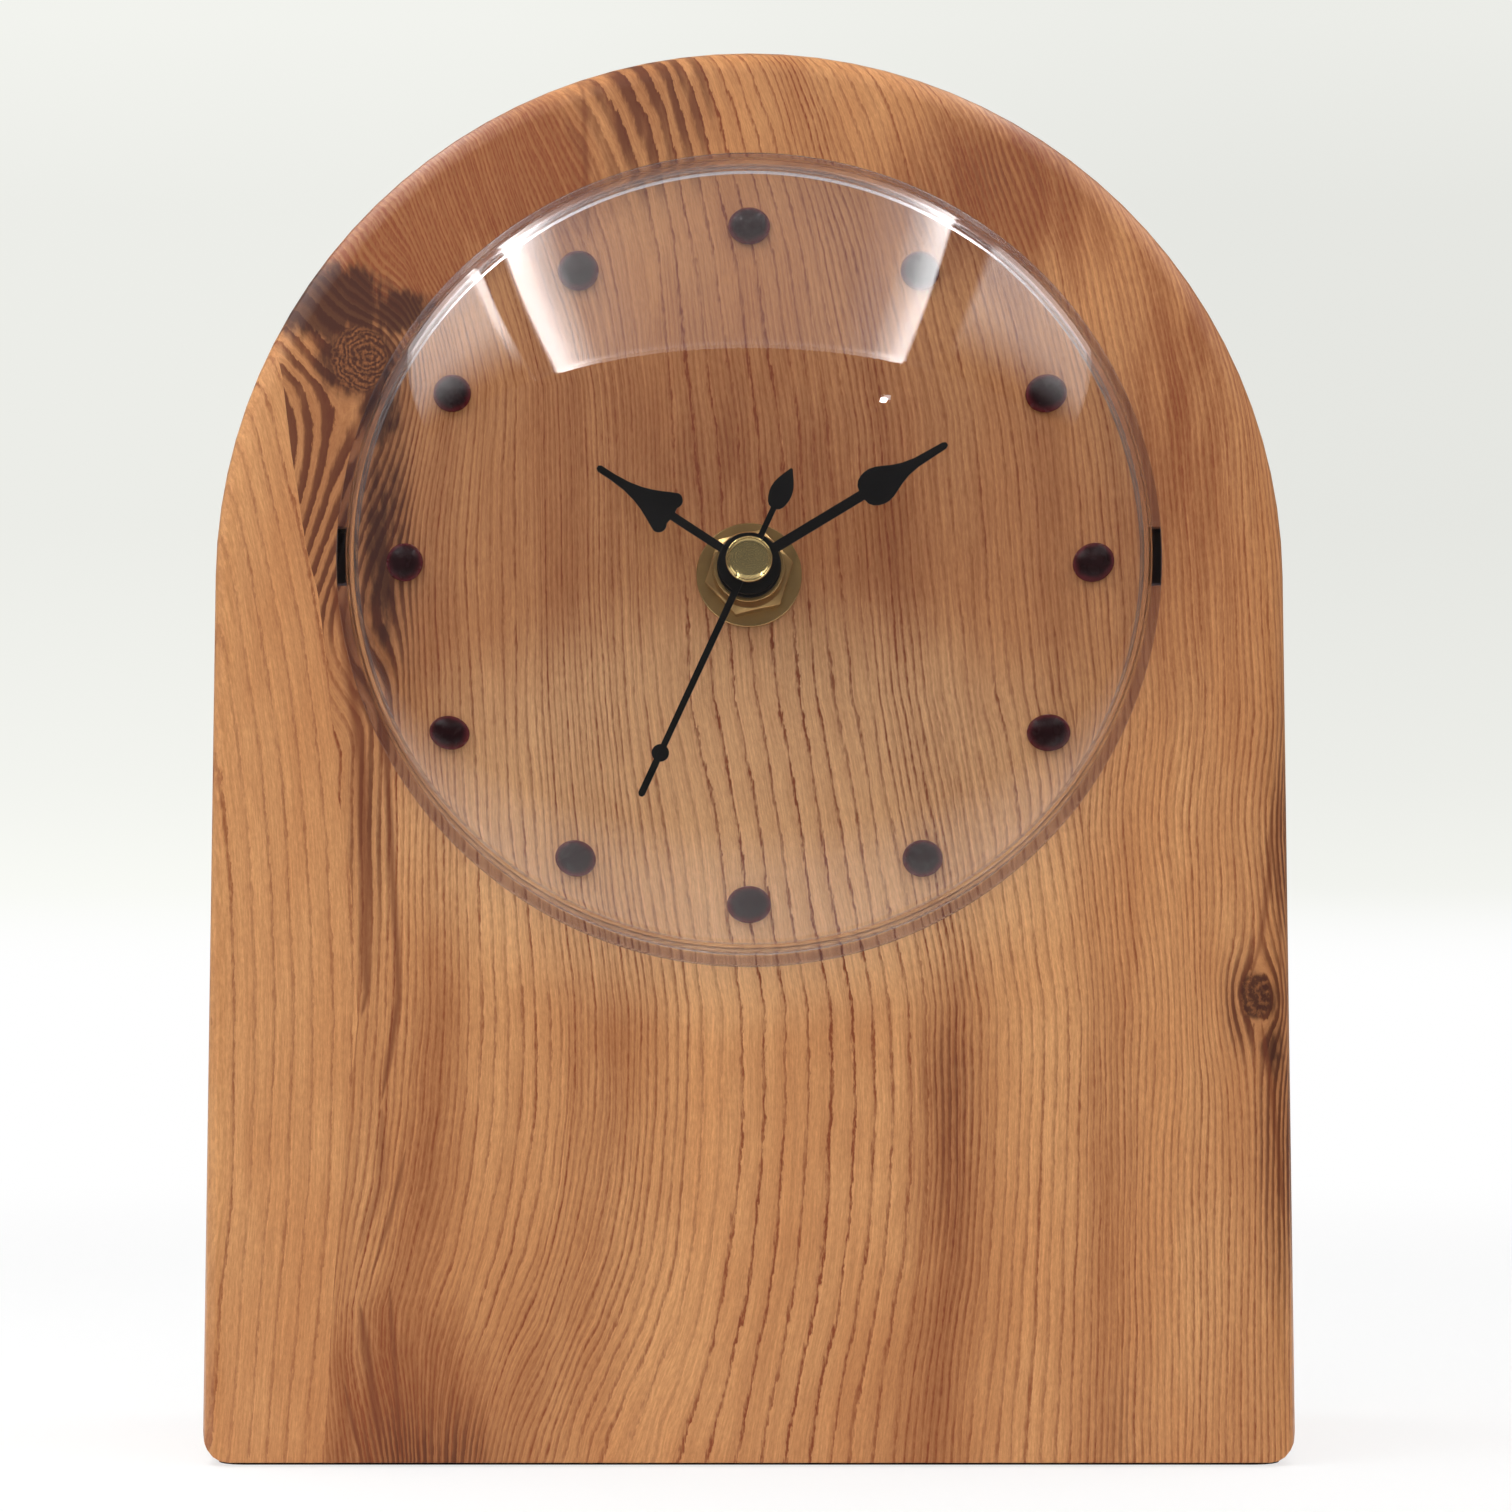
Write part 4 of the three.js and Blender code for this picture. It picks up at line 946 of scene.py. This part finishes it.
def thread_profile():
    """The bushing from behind the panel to its front end, and back along its bore."""
    profile = [(2.72, -5.5), (CREST, -5.5)]
    for step in range(TURNS):
        base = -5.3 + step * PITCH
        profile += [(CREST, base), (CREST, base + 0.08), (ROOT, base + 0.26), (ROOT, base + 0.3)]
    return profile + [(3.85, 4.42), (3.7, 4.6), (2.85, 4.6), (2.72, 4.45), (2.72, -5.5)]


def behind_film(place, back):
    """Whether a place in millimetres is on the bare inside of the case, whose back edge is given."""
    foot = FOOT_Z / MM
    depth = place.y - FACE_Y / MM - (place.z - foot) * LEAN
    above = max(0.0, place.z - SHAFT["pos_m"][2] / MM)
    inset = CAD_BOX[1][0] / MM - math.hypot(place.x, above)
    return min(depth, inset, place.z - foot) > CASE_WALL - 0.1 and back - place.y > 0.5


# Operators


class CLOCK_OT_case(bpy.types.Operator):
    """Wrap the case in wood-grain film and leave its inside bare"""

    bl_idname = "clock.case"
    bl_label = "Case"

    def execute(self, context):
        looks = context.scene.clock_case
        bm = merged_copy("case_shell")
        soften(bm, looks.edge / MM, above=50)
        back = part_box("case_shell")[1].y / MM
        for face in bm.faces:
            face.material_index = int(behind_film(face.calc_center_median(), back))
        bare = moulded("Bare board", looks.board, pebbles=1.5, roughness=0.75, depth=0.06, tone=0.16)
        piece = as_object(bm, "case_film", Matrix.Scale(MM, 4))
        inside = [p.material_index for p in piece.data.polygons]
        dress(piece, [wood_film(looks), bare], "clock", "wood_film", "case_shell")
        piece.data.polygons.foreach_set("material_index", inside)
        level(piece)
        return {"FINISHED"}


class CLOCK_OT_rear(bpy.types.Operator):
    """Fit the hardboard cover, its screws and the foot pad"""

    bl_idname = "clock.rear"
    bl_label = "Rear Cover"

    def execute(self, context):
        looks = context.scene.clock_case
        softened_node("rear_cover", hardboard(looks), "back_board", 0.3)
        felt = moulded(
            "Felt", looks.pad, pebbles=4.0, roughness=0.95, spread=0.04, depth=0.1, tone=0.25
        )
        softened_node("base_pad", felt, "pad", 0.1)
        steel = steel_metal(context.scene.clock_movement)
        for number in range(1, 5):
            node = f"rear_screw_{number}"
            low, high = (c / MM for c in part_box(node))
            middle = (low + high) / 2
            place = Matrix.Translation((middle.x * MM, low.y * MM, middle.z * MM)) @ Matrix.Scale(MM, 4)
            piece = as_object(turned(end_on(SCREW), 32), f"{node}_dressed", place)
            for wide, tall in RECESS:
                arm = bmesh.new()
                block(arm, (-wide, 12.7, -tall), (wide, 15, tall))
                combine(piece, as_object(arm, "recess", place), "DIFFERENCE")
            dress(piece, [steel], "clock", "steel", node)
        return {"FINISHED"}


class CLOCK_OT_lens(bpy.types.Operator):
    """Turn the clear domed lens with its rim and snap tabs"""

    bl_idname = "clock.lens"
    bl_label = "Lens"

    def execute(self, context):
        looks = context.scene.clock_lens
        flange, high, dome = looks.flange / MM, looks.flange_height / MM, looks.dome / MM
        foot, apex, wall = looks.foot / MM, looks.apex / MM, looks.wall / MM
        inner = quarter(dome - wall, foot - 0.3, apex - wall - 0.1, 30)
        profile = [
            *reversed(inner), (dome - wall, 0.3), (dome - wall + 0.15, 0.15), (flange - 0.15, 0.15),
            (flange, 0.3), (flange, high - 0.4), (flange - 0.12, high - 0.12), (flange - 0.4, high),
            (dome + 0.25, high), (dome + 0.06, high + 0.08), (dome, high + 0.3),
            *quarter(dome, foot, apex, 36),
        ]
        rise = DIAL @ Matrix.Translation((0, 0, LENS_RISE))
        piece = as_object(turned(profile, looks.steps), "lens_dome", rise)
        for side in (1, -1):
            for number, (near, far, start) in enumerate(LENS_TAB):
                left, right = sorted((side * near, side * far))
                tab = bmesh.new()
                block(tab, (left, start, -TAB_HALF_WIDTH), (right, TAB_END, TAB_HALF_WIDTH))
                combine(piece, as_object(tab, f"tab_{number}", rise), "UNION")
        dress(piece, [lens_clear(looks)], "clock", "lens_clear", "lens")
        return {"FINISHED"}


class CLOCK_OT_markers(bpy.types.Operator):
    """Set the twelve bead markers on the face"""

    bl_idname = "clock.markers"
    bl_label = "Markers"

    def execute(self, context):
        looks = context.scene.clock_dial
        glass = bead_glass(looks)
        radius, height = looks.bead_radius / MM, looks.bead_height / MM
        dome = quarter(radius, 0.4, 0.15 + height, 10)[1:]
        profile = [(0, 0.15), (radius - 0.12, 0.15), (radius, 0.3), *dome]
        for number, (wide, tall, tilt) in enumerate(BEAD_OVALS, 1):
            turn = math.radians(90 - 30 * number)
            across, up = MARKER_RING * math.cos(turn), DIAL_RISE + MARKER_RING * math.sin(turn)
            tilted = Matrix.Rotation(math.radians(-tilt), 4, "Y") @ Matrix.Diagonal((wide, 1, tall, 1))
            place = DIAL @ Matrix.Translation((across, 0, up)) @ tilted
            piece = as_object(turned(profile, 40), f"bead_{number:02d}", place)
            dress(piece, [glass], "clock", "bead", f"hour_marker_{number:02d}")
        return {"FINISHED"}


class CLOCK_OT_fittings(bpy.types.Operator):
    """Clamp the movement with its brass washer, nut and bushing"""

    bl_idname = "clock.fittings"
    bl_label = "Fittings"

    def execute(self, context):
        looks = context.scene.clock_dial
        brass = brass_metal(looks)
        lathe("washer_ring", WASHER, 64, brass, "brass", "flat_washer")
        lathe("bushing_thread", thread_profile(), 48, brass, "brass", "threaded_bushing")
        softened_node("hex_nut", brass, "brass", 0.12, above=25)
        tint = context.scene.clock_movement.rubber
        rubber = moulded("Rubber", tint, roughness=0.82, spread=0.06, depth=0.03)
        lathe("gasket_ring", GASKET, 48, rubber, "rubber", "rubber_gasket")
        return {"FINISHED"}


class CLOCK_OT_hands(bpy.types.Operator):
    """Fit the spade hands, the hour hand's collar and the brass cap"""

    bl_idname = "clock.hands"
    bl_label = "Hands"

    def execute(self, context):
        looks = context.scene.clock_dial
        black = moulded(
            "Hand black", looks.black, pebbles=9.0, roughness=0.5, spread=0.06, depth=0.006, tone=0.2,
            Specular_IOR_Level=0.3,
        )
        for node in ("hour_hand", "minute_hand", "second_hand"):
            softened_node(node, black, "hand_black", looks.edge / MM)
        lathe("hour_collar", COLLAR, 48, brass_metal(looks), "brass", "hour_hand_bush")
        polished = machined(
            "Polished brass", looks.cap, roughness=0.08, spread=0.03, depth=0.001, tone=0.06, metallic=0.8
        )
        lathe("cap_polished", CAP, 64, polished, "brass", "second_cap")
        return {"FINISHED"}


class CLOCK_OT_movement(bpy.types.Operator):
    """Finish the movement's box, lid, knob and wheels"""

    bl_idname = "clock.movement"
    bl_label = "Movement"

    def execute(self, context):
        looks = context.scene.clock_movement
        black = moulded("Black plastic", looks.black, pebbles=5.0, roughness=0.5, spread=0.08, depth=0.03)
        for node in ("movement_case", "movement_lid"):
            softened_node(node, black, "black_plastic", looks.edge / MM)
        softened_node("setting_knob", black, "black_plastic", 0.1)
        white = moulded("White plastic", looks.white, pebbles=4.0, roughness=0.45, depth=0.01, tone=0.05)
        for node in (
            "middle_plate", "hour_wheel", "minute_pipe", "motion_wheel", "centre_wheel", "second_wheel",
            "intermediate_wheel", "third_wheel", "rotor",
        ):
            paint(node, white)
        return {"FINISHED"}


class CLOCK_OT_motor(bpy.types.Operator):
    """Finish the step motor and the electronics"""

    bl_idname = "clock.motor"
    bl_label = "Motor"

    def execute(self, context):
        looks = context.scene.clock_movement
        steel = steel_metal(looks)
        for node in ("stator", "coil_core", "quartz_crystal", "contact_positive", "contact_negative"):
            paint(node, steel)
        paint("rotor_magnet", machined("Magnet", linear(92, 90, 92), roughness=0.5, spread=0.1))
        paint("coil", copper_wire(looks))
        lacquer = moulded("Circuit board", looks.board, pebbles=3.0, roughness=0.35, depth=0.01)
        paint("circuit_board", lacquer)
        resin = moulded("Chip resin", looks.black, pebbles=8.0, roughness=0.6, depth=0.01)
        paint("control_chip", resin)
        return {"FINISHED"}


class CLOCK_OT_battery(bpy.types.Operator):
    """Turn the cell with its sleeve and bare ends"""

    bl_idname = "clock.battery"
    bl_label = "Battery"

    def execute(self, context):
        low, high = (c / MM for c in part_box("battery"))
        profile = [
            (0, low.x), (4.6, low.x), (4.9, low.x + 0.12), (6.6, low.x + 0.12), (7.1, low.x + 0.3),
            (7.25, low.x + 0.7), (7.25, high.x - 1.7), (7.1, high.x - 1.3), (6.7, high.x - 1.1),
            (6.2, high.x - 1.25), (3.2, high.x - 1.2), (2.7, high.x - 1.0), (2.7, high.x - 0.25),
            (2.45, high.x), (0, high.x),
        ]
        bm = turned(end_on(profile), 56)
        on_its_side = Matrix.Rotation(-math.pi / 2, 3, "Z")
        bmesh.ops.rotate(bm, verts=bm.verts, cent=(0, 0, 0), matrix=on_its_side)
        middle = (low + high) / 2
        place = Matrix.Translation((0, middle.y * MM, middle.z * MM)) @ Matrix.Scale(MM, 4)
        piece = as_object(bm, "cell_sleeve", place)
        dress(piece, [cell_sleeve(context.scene.clock_movement)], "cell", "cell", "battery")
        return {"FINISHED"}


# How bright the wall is, by height in millimetres.
WALL_LEVEL = (
    (0, 1.1), (50, 1.06), (80, 1.04), (150, 1.015), (300, 0.97), (570, 0.975), (725, 1.03), (3000, 1.03),
)

# How pale the table is to other rays, by distance behind the clock: it ends in front of the clock.
TABLE_LEVEL = ((-3000, 0.12), (-540, 0.12), (-280, 0.65), (-120, 0.8), (0, 1.0), (4000, 1.0))


def stage_surface(looks):
    """White table and pale wall, plain to the camera apart from a soft shadow round the foot."""
    material, n = blank_material("Table and wall")
    _, x, y, z = n.millimetres()
    shade = n.product(n.curve(z, WALL_LEVEL), n.ease(x, -350, 450, 1.0, 0.94))
    grey = n.add("CombineColor", {0: shade, 1: shade, 2: shade}).outputs[0]
    wall = n.mix(1.0, looks.wall, grey, "MULTIPLY")
    tint = n.mix(n.ease(y, 1500, 3500), looks.floor, wall)
    away = n.math("SQRT", n.total(n.product(x, x), n.product(y, y)))
    seen = n.add("LightPath").outputs["Is Camera Ray"]
    near = n.math("MAXIMUM", n.curve(y, TABLE_LEVEL), seen)
    matt = n.add("BsdfDiffuse", {"Color": n.mix(near, (0.0, 0.0, 0.0), tint)})
    glow = n.add("Emission", {"Color": tint})
    plain = n.product(seen, n.ease(away, 110, 500, 0.7, 1.0))
    mixed = n.add("MixShader", {0: plain, 1: matt.outputs[0], 2: glow.outputs[0]})
    n.add("OutputMaterial", {"Surface": mixed.outputs[0]})
    return material


# Brightness across the tent's roof, by millimetres from the middle: two strips, dark seams, cloth between.
ROOF = (
    (-340, 2.0), (-230, 2.8), (-182, 3.2), (-178, 8.0), (-172, 8.0), (-170, 0.1), (-149, 0.1),
    (-147, 12.0), (-138, 11.0), (-124, 5.0), (-108, 1.5), (-60, 0.75), (0, 0.65), (60, 0.8), (84, 1.7),
    (97, 4.5), (106, 8.5), (112, 9.5), (114, 0.1), (142, 0.1), (148, 2.2), (200, 2.2), (340, 1.7),
)


def roof_light(looks):
    """Glowing roof of a photo tent; its strips spread apart towards the back."""
    material, n = blank_material("Tent roof")
    _, x, y, _ = n.millimetres()
    across = n.math("DIVIDE", x, n.scaled(y, 0.0005, 1.15))
    aside = n.math("ABSOLUTE", n.scaled(across, 1, 15))
    outer = n.ease(aside, 150, 158)
    hem = n.ease(y, -347, -341, 2.2, 1.0)
    fade = n.math("MULTIPLY_ADD", outer, n.math("SUBTRACT", n.ease(y, -330, -180), hem), hem)
    inner = n.ease(aside, 60, 110, 1.0, 0.0)
    fade = n.product(fade, n.math("MULTIPLY_ADD", inner, n.ease(y, -200, 100, 0.0, -0.6), 1.0))
    glow = n.add("Emission", {"Strength": n.product(n.curve(across, ROOF), fade, looks.ceiling)})
    n.add("OutputMaterial", {"Surface": glow.outputs[0]})
    return material


def panel(name, strength, size, place, aim=None):
    """Area light of a set brightness, facing down, or towards a point and then unseen in the lens."""
    light = bpy.data.lights.new(name, "AREA")
    light.shape, light.size, light.size_y = "RECTANGLE", *size
    light.energy = strength * math.pi * size[0] * size[1]
    lamp = bpy.data.objects.new(name, light)
    lamp.location = place
    if aim:
        lamp.rotation_euler = (Vector(aim) - Vector(place)).to_track_quat("-Z", "Y").to_euler()
    lamp.visible_camera = False
    lamp.visible_glossy = lamp.visible_transmission = aim is None
    bpy.context.scene.collection.objects.link(lamp)


# Table and wall in metres: half-width, front edge, wall, height of the wall, and the cove between them.
HALF_WIDTH, FRONT, BACK, TOP, COVE = 4, -3, 3.65, 3, 0.3


def set_table(looks):
    """Table and wall in one sweep."""
    bm = bmesh.new()
    outline = ((-HALF_WIDTH, FRONT, 0), (-HALF_WIDTH, BACK, 0), (-HALF_WIDTH, BACK, TOP))
    near, corner, top = (bm.verts.new(p) for p in outline)
    edges = [bm.edges.new((near, corner)), bm.edges.new((corner, top))]
    swept = bmesh.ops.extrude_edge_only(bm, edges=edges)["geom"]
    moved = [g for g in swept if isinstance(g, bmesh.types.BMVert)]
    bmesh.ops.translate(bm, vec=(2 * HALF_WIDTH, 0, 0), verts=moved)
    round_edges(bm, [e for e in bm.edges if len(e.link_faces) == 2], COVE, 10)
    bmesh.ops.recalc_face_normals(bm, faces=bm.faces)
    backdrop = as_object(bm, "table_and_wall", Matrix.Identity(4))
    backdrop.data.shade_smooth()
    backdrop.data.materials.append(stage_surface(looks))


def set_world(looks):
    """Soft light from behind and above, dark in front, and the wall's colour to the camera."""
    world = bpy.data.worlds.new("Room")
    world.use_nodes = True
    world.node_tree.nodes.clear()
    n = Nodes(world.node_tree)
    toward = n.add("SeparateXYZ", {0: n.add("TexCoord").outputs["Generated"]}).outputs["Y"]
    path = n.add("LightPath").outputs
    front = n.scaled(path["Is Transmission Ray"], 0.07, 0.03)
    strength = n.ease(toward, -0.2, 0.3, front, looks.world)
    soft = n.add("Background", {"Color": (1, 1, 1), "Strength": strength})
    seen = n.add("Background", {"Color": looks.wall, "Strength": 1.0})
    mixed = n.add("MixShader", {0: path["Is Camera Ray"], 1: soft.outputs[0], 2: seen.outputs[0]})
    n.add("OutputWorld", {"Surface": mixed.outputs[0]})
    bpy.context.scene.world = world


def set_lights(looks):
    """Glowing roof of the tent, soft panels round the clock, and a small lamp that glints in the lens."""
    bm = bmesh.new()
    bmesh.ops.create_grid(bm, x_segments=12, y_segments=4, size=0.5)
    place = Matrix.Translation((0, -0.05, 0.38)) @ Matrix.Diagonal((0.68, 0.6, 1, 1))
    overhead = as_object(bm, "tent_roof", place)
    overhead.data.materials.append(roof_light(looks))
    overhead.visible_camera = False
    for name, x in (("side_left", -0.33), ("side_right", 0.33)):
        panel(name, looks.sides, (0.55, 0.26), (x, -0.06, 0.25), aim=(0, -0.06, 0.25))
    panel("fill", looks.fill, (1.2, 0.9), (0, -1.5, 0.45), aim=(0, 0, 0.1))
    panel("fill_behind", looks.behind, (1.2, 0.9), (0, 1.5, 0.55), aim=(0, 0, 0.1))
    panel("spark", looks.spark, (0.006, 0.009), (0.102, -0.411, 0.3755))


def set_camera(looks):
    camera = bpy.data.objects.new("camera", bpy.data.cameras.new("camera"))
    camera.location = (0.001, -looks.distance, looks.height)
    camera.rotation_euler = (math.pi / 2, 0, 0)
    camera.data.lens, camera.data.sensor_width = looks.lens, 36
    camera.data.clip_end = 50
    bpy.context.scene.collection.objects.link(camera)
    bpy.context.scene.camera = camera


class CLOCK_OT_stage(bpy.types.Operator):
    """Set up the camera, the table, the wall and the lights"""

    bl_idname = "clock.stage"
    bl_label = "Stage"

    def execute(self, context):
        looks = context.scene.clock_stage
        set_table(looks)
        set_world(looks)
        set_lights(looks)
        set_camera(looks)
        context.scene.view_settings.view_transform = "Standard"
        return {"FINISHED"}


LOOKS = {
    "clock_case": CaseLooks,
    "clock_lens": LensLooks,
    "clock_dial": DialLooks,
    "clock_movement": MovementLooks,
    "clock_stage": StageLooks,
}
OPERATORS = (
    CLOCK_OT_stage, CLOCK_OT_case, CLOCK_OT_rear, CLOCK_OT_lens, CLOCK_OT_markers, CLOCK_OT_fittings,
    CLOCK_OT_hands, CLOCK_OT_movement, CLOCK_OT_motor, CLOCK_OT_battery,
)


class CLOCK_PT_pieces(bpy.types.Panel):
    """Lists the clock's pieces and their values"""

    bl_idname = "CLOCK_PT_pieces"
    bl_label = "Table Clock"
    bl_space_type = "VIEW_3D"
    bl_region_type = "UI"
    bl_category = "Clock"

    def draw(self, context):
        for operator in OPERATORS:
            self.layout.operator(operator.bl_idname)
        for name, group in LOOKS.items():
            box = self.layout.box()
            box.label(text=group.__doc__)
            for value in group.__annotations__:
                box.prop(getattr(context.scene, name), value)


CLASSES = (*LOOKS.values(), *OPERATORS, CLOCK_PT_pieces)


def register():
    for cls in CLASSES:
        bpy.utils.register_class(cls)
    for name, group in LOOKS.items():
        setattr(bpy.types.Scene, name, PointerProperty(type=group))


def unregister():
    for name in LOOKS:
        delattr(bpy.types.Scene, name)
    for cls in reversed(CLASSES):
        bpy.utils.unregister_class(cls)


def main():
    register()
    bpy.ops.clock.stage()
    bpy.ops.clock.case()
    bpy.ops.clock.rear()
    bpy.ops.clock.lens()
    bpy.ops.clock.markers()
    bpy.ops.clock.fittings()
    bpy.ops.clock.hands()
    bpy.ops.clock.movement()
    bpy.ops.clock.motor()
    bpy.ops.clock.battery()


if __name__ == "__main__":
    main()
